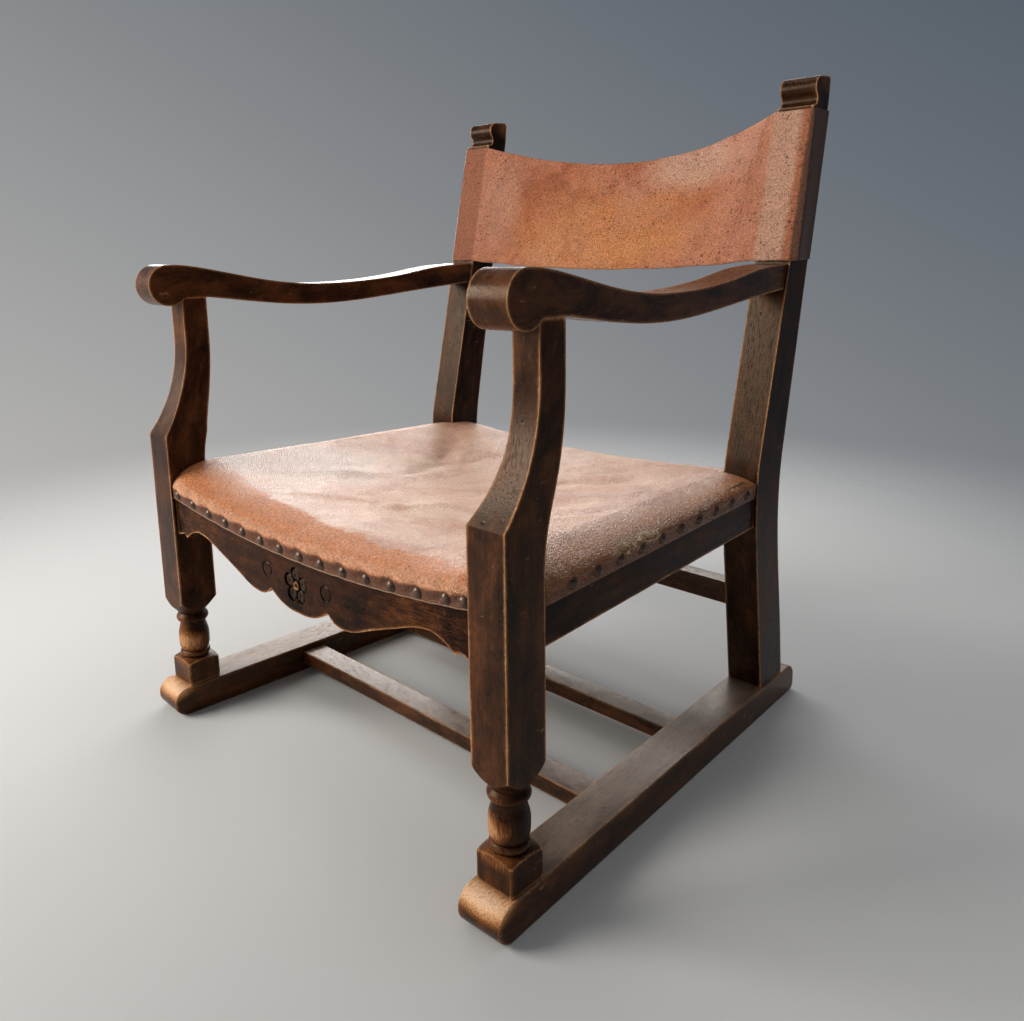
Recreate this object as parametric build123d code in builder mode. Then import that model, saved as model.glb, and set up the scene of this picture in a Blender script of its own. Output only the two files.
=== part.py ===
"""Oak fireside armchair on sledge feet, with a dished leather seat and a leather sling back."""
import os
from math import atan2, cos, degrees, radians, sin

from build123d import *

os.makedirs("parts", exist_ok=True)

# Frame: +Z up, the sitter looks along -Y, left is the sitter's left (+X).
# Depths are measured backwards from the front faces of the front legs.
# Heights are measured up from the floor.

# Overall stance
leg_span = 602.0
post_inset = 22.0
nose_reach = 20.0
runner_tail_depth = 583.5
arm_underside = 531.0

# Fits
tenon_gap = 0.2
mortise_end_gap = 0.5
soft_gap = 0.3
overrun = 20.0
arris = 1.5

# Runners
runner_width = 49.0
runner_height = 36.5
nose_radius = 18.0
tail_under_radius = 10.0

# Front legs
leg_width = 43.0
leg_depth = 49.0
knee_height = 366.0
sweep_top_height = 480.0
sweep_setback = 43.5
leg_back_height = 322.0
support_back_depth = 76.0
support_waist = 29.0
square_bottom = 148.5
foot_block_width = 42.4
foot_block_corner_height = 64.5
collar_radius = 20.0
collar_top_height = 134.0
leg_tenon_radius = 11.0
leg_tenon_length = 26.0
arm_tenon_width = 18.0
arm_tenon_depth = 20.0
arm_tenon_height = 17.0

# Turned foot: radii, and heights as shares of the way from the block to the collar's top
block_crown_share = 0.07
ring_root_radius = 15.8
ring_low_share = 0.075
ring_radius = 18.8
ring_share = 0.13
ring_high_share = 0.19
ball_foot_radius = 17.0
ball_foot_share = 0.21
ball_radius = 19.2
ball_share = 0.39
ball_shoulder_radius = 18.7
ball_shoulder_share = 0.55
neck_radius = 15.8
neck_share = 0.74
collar_lip_radius = 16.8
collar_lip_share = 0.76
collar_ring_radius = 20.0
collar_ring_share = 0.83
collar_brow_radius = 18.6
collar_brow_share = 0.885
groove_radius = 16.6
groove_share = 0.925

# Back posts
post_width = 44.0
foot_front_depth = 491.0
foot_thickness = 55.0
waist_set_forward = 31.0
waist_thickness = 54.5
waist_height = 272.0
rake_start_rise = 64.0
rake_start_setback = 2.5
front_rake = 0.225
back_rake = 0.18
back_rake_start_rise = 73.0
back_rake_start_setback = 5.5
post_tenon_width = 24.0
post_tenon_depth = 30.0
post_tenon_length = 20.0

# Scrolled tops of the posts
finial_shoulder_height = 737.0
finial_roll_radius = 12.0
finial_roll_rise = 9.5
finial_cove_depth = 10.0
finial_back_rise = 8.0
finial_top_fall = 1.5
finial_back_radius = 5.0

# Arms
arm_width = 40.5
arm_front_inset = 15.75
arm_rear_inset = 23.7
scroll_radius = 24.5
scroll_centre_depth = 25.0
scroll_centre_height = 547.5
arm_back_thickness = 27.5
arm_back_rise = 0.5
arm_dip = 17.3
arm_dip_thickness = 26.8
post_joint_length = 24.0
post_joint_width = 20.0
post_joint_height = 16.0
post_joint_rise = 5.5

# Seat rails
rail_thickness = 24.0
rail_setback = 5.0
side_rail_top = 306.0
side_rail_depth = 53.0
side_rail_leg_inset = 3.0
side_rail_post_inset = 4.0
rear_rail_setback = 21.0
rail_tenon_thickness = 10.0
rail_tenon_height = 34.0
rail_tenon_length = 20.0
rail_tenon_rise = 9.0

# Dished bed of the seat
front_dip = 21.0
rear_dip = 18.0

# Shaped lower edge of the front rail, from the middle to the leg
front_rail_depth = 94.5
inner_cusp_share = 0.199
inner_cusp_rise = 14.2
side_lobe_share = 0.287
side_lobe_rise = 4.5
arch_share = 0.795
arch_rise = 43.5
outer_cusp_share = 0.915
outer_cusp_rise = 30.5
outer_nick_width = 5.0
outer_nick_rise = 4.5

# Carving on the front rail
carving_shift = 4.0
rosette_rise = 29.5
rosette_sink = 2.6
petal_count = 5
petal_ring_radius = 12.6
petal_hollow_radius = 8.8
petal_dome_radius = 11.4
petal_drop = 0.6
rosette_eye_radius = 5.0
gouge_spacing = 53.5
gouge_rise = 35.5
gouge_radius = 8.2
gouge_groove_radius = 1.3

# Stretchers
low_stretcher_top = 28.8
low_stretcher_thickness = 19.0
front_stretcher_depth = 170.0
front_stretcher_width = 32.5
rear_stretcher_depth = 341.5
rear_stretcher_width = 30.0
low_tenon_width = 20.0
low_tenon_height = 9.0
low_tenon_length = 18.0
back_stretcher_setback = 13.0
back_stretcher_thickness = 24.0
back_stretcher_bottom = 127.5
back_stretcher_height = 29.0
back_tenon_thickness = 10.0
back_tenon_height = 18.0
back_tenon_length = 18.0

# Seat webbing, base cloth and stuffing
web_width = 50.0
web_thickness = 2.0
web_inset = 4.0
base_cloth_thickness = 1.0
cross_web_shares = (-0.5, 0, 0.5)
long_web_shares = (-0.6, -0.2, 0.2, 0.6)
seat_edge_rise = 19.5
seat_rear_edge_rise = 6.5
seat_rim_drop = 3.5
seat_hollow = 5.0
side_roll_width = 36.0
front_roll_depth = 46.0
rear_roll_depth = 34.0
roll_shares = (0.0, 0.1, 0.4, 1.0)

# Leather
leather = 2.5
hem_drop = 15.5
rear_hem_drop = 36.0
front_hem_end_drop = 16.4
front_hem_middle_drop = 35.6
sling_top_drop = 4.0
sling_height = 170.0
sling_top_sag = 38.5
sling_bottom_sag = 12.0
sling_top_bow = 45.0
sling_bottom_bow = 20.0
sling_flap = 30.0

# Dome-headed nails
nail_head_radius = 6.0
nail_dome = 3.6
nail_shank_radius = 1.1
nail_shank_length = 13.0
nail_hem_margin = 9.0
front_nail_margin = 7.5
front_nail_count = 14
front_nail_first_margin = 13.5
front_nail_row_margin = 29.0
front_nail_last_margin = 7.0
side_nail_count = 10
side_nail_front_margin = 40.5
side_nail_rear_margin = 25.8
rear_nail_count = 13
rear_nail_corner_margin = 15.0
back_nail_count = 6
back_nail_edge_margin = 6.0
back_nail_inset = 9.0

# Corner blocks
block_height = 30.0
block_setback = 3.0
front_block_reach = 48.0

# Derived places
leg_outer_x = leg_span / 2
leg_inner_x = leg_outer_x - leg_width
leg_centre_x = leg_outer_x - leg_width / 2
leg_centre_depth = leg_depth / 2
post_outer_x = leg_outer_x - post_inset
post_inner_x = post_outer_x - post_width
post_centre_x = post_outer_x - post_width / 2
foot_back_depth = foot_front_depth + foot_thickness
foot_centre_depth = foot_front_depth + foot_thickness / 2
waist_front_depth = foot_front_depth - waist_set_forward
waist_back_depth = waist_front_depth + waist_thickness
rake_start_height = waist_height + rake_start_rise
rake_start_front_depth = waist_front_depth + rake_start_setback
back_rake_start_height = waist_height + back_rake_start_rise
rake_start_back_depth = waist_back_depth + back_rake_start_setback
finial_roll_height = finial_shoulder_height + finial_roll_radius + finial_roll_rise
finial_back_height = finial_shoulder_height + finial_back_rise
sling_top = finial_shoulder_height - sling_top_drop
sling_bottom = sling_top - sling_height
sling_top_middle = sling_top - sling_top_sag
sling_bottom_middle = sling_bottom - sling_bottom_sag
side_rail_bottom = side_rail_top - side_rail_depth
rail_tenon_base = side_rail_bottom + rail_tenon_rise
hem_height = side_rail_top - hem_drop
rear_hem_height = side_rail_top - rear_hem_drop
hem_end_height = side_rail_top - front_hem_end_drop
hem_middle_height = side_rail_top - front_hem_middle_drop
seat_edge_height = side_rail_top + seat_edge_rise
seat_rear_edge_height = side_rail_top + seat_rear_edge_rise
seat_rim_middle = side_rail_top - seat_rim_drop


def post_front(height):
    """Depth of the raked front face of a back post."""
    return rake_start_front_depth + front_rake * (height - rake_start_height)


def post_back(height):
    """Depth of the raked rear face of a back post."""
    return rake_start_back_depth + back_rake * (height - back_rake_start_height)


bottom_nail_height = sling_bottom + back_nail_edge_margin
top_nail_height = sling_top - back_nail_edge_margin
back_nail_pitch = (top_nail_height - bottom_nail_height) / (back_nail_count - 1)
rear_reach = post_back(top_nail_height) + leather + nail_dome
front_y = (nose_reach - rear_reach) / 2


def y_at(depth):
    """Y of a depth behind the front faces of the front legs."""
    return front_y + depth


toe_angle = degrees(atan2(leg_centre_x - post_centre_x, foot_centre_depth - leg_centre_depth))
arm_back_underside = arm_underside + arm_back_rise
arm_back_top = arm_back_underside + arm_back_thickness
arm_dip_underside = arm_underside - arm_dip
arm_dip_top = arm_dip_underside + arm_dip_thickness
arm_rear_depth = post_front((arm_back_top + arm_back_underside) / 2)
arm_dip_depth = arm_rear_depth / 2
arm_front_centre_x = leg_outer_x - arm_front_inset
arm_rear_centre_x = post_outer_x - arm_rear_inset
arm_angle = degrees(atan2(arm_front_centre_x - arm_rear_centre_x, arm_rear_depth))
post_joint_base = arm_back_underside + post_joint_rise
side_rail_front_x = leg_outer_x - side_rail_leg_inset
side_rail_rear_x = post_outer_x - side_rail_post_inset
rear_rail_depth = waist_front_depth + rear_rail_setback
back_stretcher_depth = foot_front_depth + back_stretcher_setback
middle_lobe_height = side_rail_top - front_rail_depth
inner_cusp_x = leg_inner_x * inner_cusp_share
inner_cusp_height = middle_lobe_height + inner_cusp_rise
side_lobe_x = leg_inner_x * side_lobe_share
side_lobe_height = middle_lobe_height + side_lobe_rise
arch_x = leg_inner_x * arch_share
arch_height = middle_lobe_height + arch_rise
outer_cusp_x = leg_inner_x * outer_cusp_share
outer_cusp_height = middle_lobe_height + outer_cusp_rise
outer_nick_x = outer_cusp_x + outer_nick_width
outer_nick_height = outer_cusp_height + outer_nick_rise
rosette_height = middle_lobe_height + rosette_rise
gouge_height = middle_lobe_height + gouge_rise
side_nail_height = hem_height + nail_hem_margin
rear_nail_height = rear_hem_height + nail_hem_margin
front_nail_first_x = front_nail_first_margin - leg_inner_x
front_nail_row_x = leg_inner_x - front_nail_row_margin
front_nail_pitch = (front_nail_row_x - front_nail_first_x) / (front_nail_count - 1)
front_nail_last_x = leg_inner_x - front_nail_last_margin
rear_nail_reach = post_inner_x - rear_nail_corner_margin
side_nail_first_depth = leg_depth + side_nail_front_margin
side_nail_last_depth = waist_front_depth - side_nail_rear_margin
side_nail_pitch = (side_nail_last_depth - side_nail_first_depth) / (side_nail_count - 1)
block_bottom = side_rail_bottom + block_setback
block_top = block_bottom + block_height
side_rail_slope = (side_rail_front_x - side_rail_rear_x) / (waist_front_depth - leg_depth)
rail_angle = degrees(atan2(side_rail_front_x - side_rail_rear_x, waist_front_depth - leg_depth))


def turned_height(share):
    """Height on the turned foot."""
    return foot_block_corner_height + share * (collar_top_height - foot_block_corner_height)


def rail_outer_x(depth):
    """X of the outer face of the left side rail, extended past its ends."""
    return side_rail_front_x - side_rail_slope * (depth - leg_depth)


def runner_centre_x(depth):
    """X of the middle of the left runner."""
    share = (depth - leg_centre_depth) / (foot_centre_depth - leg_centre_depth)
    return leg_centre_x + share * (post_centre_x - leg_centre_x)


runner_half = runner_width / 2 / cos(radians(toe_angle))


def side_plane(x, depth, angle, height=0):
    """Upright plane looking outwards, turned in plan so that its local X runs backwards."""
    turn = radians(angle)
    return Plane(
        origin=(x, y_at(depth), height),
        x_dir=(-sin(turn), cos(turn), 0),
        z_dir=(cos(turn), sin(turn), 0),
    )


runner_plane = side_plane(leg_centre_x, leg_centre_depth, toe_angle)
arm_plane = side_plane(arm_front_centre_x, 0, arm_angle)
rail_plane = side_plane(rail_outer_x(leg_depth), leg_depth, rail_angle)

# Tenons are plain blocks, and each mortise is the same block grown by the gaps.
leg_tenon_centre = (leg_centre_x, y_at(leg_centre_depth))
arm_tenon_centre = (
    leg_outer_x - support_waist / 2,
    y_at((sweep_setback + support_back_depth) / 2),
)
post_tenon_centre = (post_centre_x, y_at(foot_centre_depth))


def upright_block(centre, width, depth, low, high, gap=0, end_gap=0):
    """Upright tenon block; gap grows its sides and end_gap its blind end."""
    with BuildPart() as block:
        with BuildSketch(Plane.XY.offset(low)):
            with Locations(centre):
                Rectangle(width + 2 * gap, depth + 2 * gap)
        extrude(amount=high - low + end_gap)
    return block.part


def foot_tenon(gap=0, end_gap=0):
    """Round tenon under a front leg."""
    low = runner_height - leg_tenon_length - end_gap
    with BuildPart() as tenon:
        with BuildSketch(Plane.XY.offset(low)):
            with Locations(leg_tenon_centre):
                Circle(leg_tenon_radius + gap)
        extrude(amount=leg_tenon_length + end_gap)
    return tenon.part


def post_tenon(gap=0, end_gap=0):
    """Tenon under a back post."""
    low = runner_height - post_tenon_length - end_gap
    return upright_block(
        post_tenon_centre, post_tenon_width, post_tenon_depth, low, runner_height, gap
    )


def arm_tenon(gap=0, end_gap=0):
    """Tenon on top of an arm support."""
    return upright_block(
        arm_tenon_centre, arm_tenon_width, arm_tenon_depth, arm_underside,
        arm_underside + arm_tenon_height, gap, end_gap
    )


def arm_post_tenon(gap=0, end_gap=0):
    """Tenon of an arm into the back post, along the arm."""
    root = arm_rear_depth - post_joint_length
    with BuildPart() as tenon:
        with BuildSketch(arm_plane):
            with Locations((root, post_joint_base - gap)):
                Rectangle(
                    2 * post_joint_length + end_gap, post_joint_height + 2 * gap,
                    align=(Align.MIN, Align.MIN)
                )
        extrude(amount=post_joint_width / 2 + gap, both=True)
    return tenon.part


def side_rail_tenon(at_post, gap=0, end_gap=0):
    """Tenon at one end of the left side rail; its root lies inside the rail."""
    inwards = (rail_thickness - rail_tenon_thickness) / 2
    reach = rail_tenon_length + end_gap
    shoulder = (waist_front_depth - leg_depth) / cos(radians(rail_angle)) if at_post else 0
    start = shoulder - rail_tenon_length if at_post else -reach
    with BuildPart() as tenon:
        with BuildSketch(rail_plane.offset(gap - inwards)):
            with Locations((start, rail_tenon_base - gap)):
                Rectangle(
                    reach + rail_tenon_length, rail_tenon_height + 2 * gap,
                    align=(Align.MIN, Align.MIN)
                )
        extrude(amount=-rail_tenon_thickness - 2 * gap)
    return tenon.part


def cross_tenon(x, depth, thickness, low, height, length, gap=0, end_gap=0):
    """Tenon that runs along X from a shoulder at x into the piece outside it."""
    with BuildPart() as tenon:
        with BuildSketch(Plane.YZ.offset(x)):
            with Locations((y_at(depth) - gap, low - gap)):
                Rectangle(
                    thickness + 2 * gap, height + 2 * gap, align=(Align.MIN, Align.MIN)
                )
        extrude(amount=length + end_gap)
    return tenon.part


rail_tenon_inset = (rail_thickness - rail_tenon_thickness) / 2


def front_rail_tenon(gap=0, end_gap=0):
    """Tenon of the front rail in the left front leg."""
    return cross_tenon(
        leg_inner_x, rail_setback + rail_tenon_inset, rail_tenon_thickness,
        rail_tenon_base, rail_tenon_height, rail_tenon_length, gap, end_gap
    )


def rear_rail_tenon(gap=0, end_gap=0):
    """Tenon of the rear rail in the left back post."""
    return cross_tenon(
        post_inner_x, rear_rail_depth + rail_tenon_inset, rail_tenon_thickness,
        rail_tenon_base, rail_tenon_height, rail_tenon_length, gap, end_gap
    )


def back_stretcher_tenon(gap=0, end_gap=0):
    """Tenon of the back stretcher in the left back post."""
    depth = back_stretcher_depth + (back_stretcher_thickness - back_tenon_thickness) / 2
    low = back_stretcher_bottom + (back_stretcher_height - back_tenon_height) / 2
    return cross_tenon(
        post_inner_x, depth, back_tenon_thickness, low, back_tenon_height,
        back_tenon_length, gap, end_gap
    )


def low_tenon(depth, width, gap=0, end_gap=0):
    """Tenon of a low stretcher in the left runner, from inside the stretcher outwards."""
    shoulder = runner_centre_x(depth + width / 2) - runner_half
    low = low_stretcher_top - (low_stretcher_thickness + low_tenon_height) / 2
    return cross_tenon(
        shoulder - runner_half / 2, depth + (width - low_tenon_width) / 2, low_tenon_width,
        low, low_tenon_height, low_tenon_length + runner_half / 2, gap, end_gap
    )


# Runners
with BuildPart() as runner_blank:
    with BuildSketch(runner_plane) as runner_side:
        toe = radians(toe_angle)
        nose = -(leg_centre_depth + nose_reach - runner_width / 2 * sin(toe)) / cos(toe)
        tail = (runner_tail_depth - leg_centre_depth) / cos(toe)
        with Locations((nose, 0)):
            Rectangle(tail - nose, runner_height, align=(Align.MIN, Align.MIN))
        fillet(runner_side.vertices().group_by(Axis.X)[0], nose_radius)
        fillet(runner_side.vertices().group_by(Axis.X)[-1].sort_by(Axis.Y)[0], tail_under_radius)
        fillet(runner_side.vertices().group_by(Axis.X)[-1].sort_by(Axis.Y)[-1], nose_radius)
    extrude(amount=runner_width / 2, both=True)
    fillet(runner_blank.faces().group_by(Axis.Z)[-1].edges().filter_by(GeomType.LINE), arris)

with BuildPart() as runner_left:
    add(runner_blank.part)
    add(foot_tenon(tenon_gap, mortise_end_gap), mode=Mode.SUBTRACT)
    add(post_tenon(tenon_gap, mortise_end_gap), mode=Mode.SUBTRACT)
    for stretcher_depth, stretcher_width in (
        (front_stretcher_depth, front_stretcher_width),
        (rear_stretcher_depth, rear_stretcher_width),
    ):
        add(
            low_tenon(stretcher_depth, stretcher_width, tenon_gap, mortise_end_gap),
            mode=Mode.SUBTRACT,
        )
with BuildPart() as runner_right:
    mirror(runner_left.part, about=Plane.YZ)

# Low stretchers between the runners
stretchers = {}
for name, stretcher_depth, stretcher_width in (
    ("front_stretcher", front_stretcher_depth, front_stretcher_width),
    ("rear_stretcher", rear_stretcher_depth, rear_stretcher_width),
):
    front_x = runner_centre_x(stretcher_depth) - runner_half
    rear_x = runner_centre_x(stretcher_depth + stretcher_width) - runner_half
    stretcher_front_y = y_at(stretcher_depth)
    stretcher_rear_y = y_at(stretcher_depth + stretcher_width)
    with BuildPart() as stretcher:
        with BuildSketch(Plane.XY.offset(low_stretcher_top - low_stretcher_thickness)):
            Polygon(
                (-front_x, stretcher_front_y), (front_x, stretcher_front_y),
                (rear_x, stretcher_rear_y), (-rear_x, stretcher_rear_y), align=None
            )
        extrude(amount=low_stretcher_thickness)
        fillet(stretcher.edges().filter_by(Axis.X), arris)
        left_tenon = low_tenon(stretcher_depth, stretcher_width)
        add(left_tenon)
        mirror(left_tenon, about=Plane.YZ)
    stretchers[name] = stretcher

# Front legs
block_crown_height = turned_height(block_crown_share)
with BuildPart() as front_leg_left:
    with BuildSketch(Plane.XY.offset(runner_height)):
        with Locations(leg_tenon_centre):
            Rectangle(foot_block_width, foot_block_width)
    extrude(amount=block_crown_height - runner_height)
    fillet(front_leg_left.edges().filter_by(Axis.Z), arris)

    # The top of the block is turned to a dome
    turning_plane = Plane(
        origin=(leg_centre_x, y_at(leg_centre_depth), 0), x_dir=(1, 0, 0), z_dir=(0, -1, 0)
    )
    turning_axis = Axis((leg_centre_x, y_at(leg_centre_depth), 0), (0, 0, 1))
    block_corner_radius = foot_block_width / 2 * 2 ** 0.5
    with BuildSketch(turning_plane):
        with BuildLine():
            dome = ThreePointArc(
                (ring_root_radius, block_crown_height),
                (foot_block_width / 2, (2 * block_crown_height + foot_block_corner_height) / 3),
                (block_corner_radius, foot_block_corner_height),
            )
            Polyline(
                dome @ 1, (block_corner_radius + overrun, foot_block_corner_height),
                (block_corner_radius + overrun, block_crown_height + overrun),
                (ring_root_radius, block_crown_height + overrun), dome @ 0
            )
        make_face()
    revolve(axis=turning_axis, mode=Mode.SUBTRACT)

    # Ring, ball, neck, collar and the groove over it
    with BuildSketch(turning_plane):
        with BuildLine():
            ring = ThreePointArc(
                (ring_root_radius, turned_height(ring_low_share)),
                (ring_radius, turned_height(ring_share)),
                (ring_root_radius, turned_height(ring_high_share)),
            )
            ball = Spline(
                (ball_foot_radius, turned_height(ball_foot_share)),
                (ball_radius, turned_height(ball_share)),
                (ball_shoulder_radius, turned_height(ball_shoulder_share)),
                (neck_radius, turned_height(neck_share)),
                tangents=((0.6, 1), (-0.05, 1)),
            )
            collar = ThreePointArc(
                (collar_lip_radius, turned_height(collar_lip_share)),
                (collar_ring_radius, turned_height(collar_ring_share)),
                (collar_brow_radius, turned_height(collar_brow_share)),
            )
            Line(ring @ 1, ball @ 0)
            Line(ball @ 1, collar @ 0)
            Polyline(
                collar @ 1, (groove_radius, turned_height(groove_share)),
                (collar_radius, collar_top_height), (collar_radius, collar_top_height + arris),
                (0, collar_top_height + arris), (0, foot_block_corner_height - arris),
                (ring_root_radius, foot_block_corner_height - arris), ring @ 0
            )
        make_face()
    revolve(axis=turning_axis)

    # Square, knee and swept arm support, sawn to one side view
    with BuildSketch(Plane.YZ.offset(leg_inner_x)):
        with BuildLine():
            sweep_drop = sweep_top_height - knee_height
            sweep_radius = (sweep_setback ** 2 + sweep_drop ** 2) / (2 * sweep_setback)
            sweep_angle = degrees(atan2(sweep_drop, sweep_radius - sweep_setback)) / 2
            shaft_front = Line((y_at(0), collar_top_height), (y_at(0), knee_height))
            sweep_middle = (
                y_at(sweep_setback - sweep_radius * (1 - cos(radians(sweep_angle)))),
                sweep_top_height - sweep_radius * sin(radians(sweep_angle)),
            )
            sweep = ThreePointArc(
                shaft_front @ 1, sweep_middle, (y_at(sweep_setback), sweep_top_height)
            )
            back_sweep = Spline(
                (y_at(support_back_depth), sweep_top_height),
                (y_at(0.87 * support_back_depth), 0.5 * (sweep_top_height + leg_back_height)),
                (y_at(leg_depth), leg_back_height),
                tangents=((0, -1), (0, -1)),
            )
            Polyline(
                sweep @ 1, (y_at(sweep_setback), arm_underside),
                (y_at(support_back_depth), arm_underside), back_sweep @ 0
            )
            Polyline(
                back_sweep @ 1, (y_at(leg_depth), collar_top_height), shaft_front @ 0
            )
        make_face()
    extrude(amount=leg_width)

    # The inner face draws in above the knee
    waist_x = leg_outer_x - support_waist
    with BuildSketch(Plane.XZ.offset(-y_at(support_back_depth + overrun))):
        with BuildLine():
            draw_in = ThreePointArc(
                (leg_inner_x, knee_height),
                (leg_inner_x + 0.62 * (waist_x - leg_inner_x), knee_height + 0.25 * sweep_drop),
                (waist_x, knee_height + 0.7 * sweep_drop),
            )
            Polyline(
                draw_in @ 1, (waist_x, arm_underside + overrun),
                (leg_inner_x - overrun, arm_underside + overrun),
                (leg_inner_x - overrun, knee_height), draw_in @ 0
            )
        make_face()
    extrude(amount=support_back_depth + 2 * overrun, mode=Mode.SUBTRACT)

    # The lower end of the square is turned to a cone
    square_corner_radius = (leg_width ** 2 + leg_depth ** 2) ** 0.5 / 2
    with BuildSketch(turning_plane):
        Polygon(
            (collar_radius, collar_top_height), (square_corner_radius, square_bottom),
            (square_corner_radius + overrun, square_bottom),
            (square_corner_radius + overrun, collar_top_height - overrun),
            (collar_radius, collar_top_height - overrun), align=None
        )
    revolve(axis=turning_axis, mode=Mode.SUBTRACT)

    add(foot_tenon())
    add(arm_tenon())
    add(front_rail_tenon(tenon_gap, mortise_end_gap), mode=Mode.SUBTRACT)
    add(side_rail_tenon(False, tenon_gap, mortise_end_gap), mode=Mode.SUBTRACT)
with BuildPart() as front_leg_right:
    mirror(front_leg_left.part, about=Plane.YZ)

# Back posts, sawn to one side view
finial_roll_depth = post_front(finial_roll_height) + finial_roll_radius
with BuildPart() as post_blank:
    with BuildSketch(Plane.YZ.offset(post_inner_x)) as post_side:
        with BuildLine():
            lower_front = Spline(
                (y_at(foot_front_depth), runner_height),
                (y_at(0.43 * foot_front_depth + 0.57 * waist_front_depth),
                 0.6 * waist_height),
                (y_at(waist_front_depth), waist_height),
                (y_at(rake_start_front_depth), rake_start_height),
                tangents=((-0.15, 1), (front_rake, 1)),
            )
            shoulder = (y_at(post_front(finial_shoulder_height)), finial_shoulder_height)
            Line(lower_front @ 1, shoulder)
            roll_foot = (
                y_at(finial_roll_depth - 0.72 * finial_roll_radius),
                finial_roll_height - 0.69 * finial_roll_radius,
            )
            ThreePointArc(
                shoulder,
                (y_at(post_front(finial_shoulder_height) + finial_cove_depth),
                 finial_shoulder_height + 0.45 * finial_roll_radius),
                roll_foot,
            )
            ThreePointArc(
                roll_foot,
                (y_at(finial_roll_depth - finial_roll_radius), finial_roll_height),
                (y_at(finial_roll_depth), finial_roll_height + finial_roll_radius),
            )
            top_y = y_at(post_back(finial_roll_height))
            top_height = finial_roll_height + finial_roll_radius + finial_top_fall
            Polyline(
                (y_at(finial_roll_depth), finial_roll_height + finial_roll_radius),
                (top_y, top_height),
                (y_at(post_back(finial_back_height)), finial_back_height),
                (y_at(rake_start_back_depth), back_rake_start_height),
            )
            Spline(
                (y_at(rake_start_back_depth), back_rake_start_height),
                (y_at(waist_back_depth), waist_height),
                (y_at(0.38 * foot_back_depth + 0.62 * waist_back_depth), 0.62 * waist_height),
                (y_at(foot_back_depth), runner_height),
                tangents=((-back_rake, -1), (0.12, -1)),
            )
            Line((y_at(foot_back_depth), runner_height), lower_front @ 0)
        make_face()
        fillet(post_side.vertices().group_by(Axis.Y)[-1], finial_back_radius)
    extrude(amount=post_width)

# The nearest the posts come to the seat
post_face_depth = lower_front.bounding_box().min.X - front_y

with BuildPart() as back_post_left:
    add(post_blank.part)
    add(post_tenon())
    add(arm_post_tenon(tenon_gap, mortise_end_gap), mode=Mode.SUBTRACT)
    add(side_rail_tenon(True, tenon_gap, mortise_end_gap), mode=Mode.SUBTRACT)
    add(rear_rail_tenon(tenon_gap, mortise_end_gap), mode=Mode.SUBTRACT)
    add(back_stretcher_tenon(tenon_gap, mortise_end_gap), mode=Mode.SUBTRACT)
with BuildPart() as back_post_right:
    mirror(back_post_left.part, about=Plane.YZ)

# Arms, sawn to one side view
with BuildPart() as arm_left:
    with BuildSketch(arm_plane):
        with BuildLine():
            scroll_top = (scroll_centre_depth, scroll_centre_height + scroll_radius)
            scroll_foot = (scroll_centre_depth, scroll_centre_height - scroll_radius)
            top_drop = scroll_top[1] - arm_dip_top
            top_line = Spline(
                scroll_top,
                (0.26 * arm_dip_depth, scroll_top[1] - 0.14 * top_drop),
                (0.5 * arm_dip_depth, scroll_top[1] - 0.55 * top_drop),
                (0.73 * arm_dip_depth, scroll_top[1] - 0.87 * top_drop),
                (arm_dip_depth, arm_dip_top),
                (0.5 * (arm_dip_depth + arm_rear_depth), 0.6 * arm_dip_top + 0.4 * arm_back_top),
                (arm_rear_depth + overrun, arm_back_top),
                tangents=((1, 0), (1, 0)),
            )
            ThreePointArc(
                scroll_top, (scroll_centre_depth - scroll_radius, scroll_centre_height), scroll_foot
            )
            seat_front = (sweep_setback, arm_underside)
            ThreePointArc(
                scroll_foot,
                (0.4 * scroll_centre_depth + 0.6 * sweep_setback,
                 0.7 * scroll_foot[1] + 0.3 * arm_underside),
                seat_front,
            )
            seat_back = (support_back_depth, arm_underside)
            Line(seat_front, seat_back)
            under_line = Spline(
                seat_back,
                (0.5 * (support_back_depth + arm_dip_depth),
                 0.28 * arm_underside + 0.72 * arm_dip_underside),
                (arm_dip_depth, arm_dip_underside),
                (0.5 * (arm_dip_depth + arm_rear_depth),
                 0.55 * arm_dip_underside + 0.45 * arm_back_underside),
                (arm_rear_depth + overrun, arm_back_underside),
                tangents=((1, -0.12), (1, 0.05)),
            )
            Line(under_line @ 1, top_line @ 1)
        make_face()
    extrude(amount=arm_width / 2, both=True)
    split(
        bisect_by=Plane(
            origin=(0, y_at(rake_start_front_depth), rake_start_height),
            z_dir=(0, 1, -front_rake),
        ),
        keep=Keep.BOTTOM,
    )
    add(arm_post_tenon())
    add(front_leg_left.part, mode=Mode.SUBTRACT)
    add(arm_tenon(tenon_gap, mortise_end_gap), mode=Mode.SUBTRACT)
with BuildPart() as arm_right:
    mirror(arm_left.part, about=Plane.YZ)


def bed_half_width(depth):
    """Half width between the inner faces of the side rails."""
    return rail_outer_x(depth) - rail_thickness


def bed_layer(low, high):
    """Layer that follows the dished bed, between two heights above it."""
    with BuildPart() as layer:
        for depth, dip in ((-overrun, front_dip), (rear_rail_depth + 2 * rail_thickness, rear_dip)):
            half = bed_half_width(depth)
            edge = rail_outer_x(depth) + overrun
            with BuildSketch(Plane.XZ.offset(-y_at(depth))):
                with BuildLine():
                    for lift in (low, high):
                        Line((-edge, side_rail_top + lift), (-half, side_rail_top + lift))
                        ThreePointArc(
                            (-half, side_rail_top + lift), (0, side_rail_top + lift - dip),
                            (half, side_rail_top + lift)
                        )
                        Line((half, side_rail_top + lift), (edge, side_rail_top + lift))
                    for x in (-edge, edge):
                        Line((x, side_rail_top + low), (x, side_rail_top + high))
                make_face()
        loft(ruled=True)
    return layer.part


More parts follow.
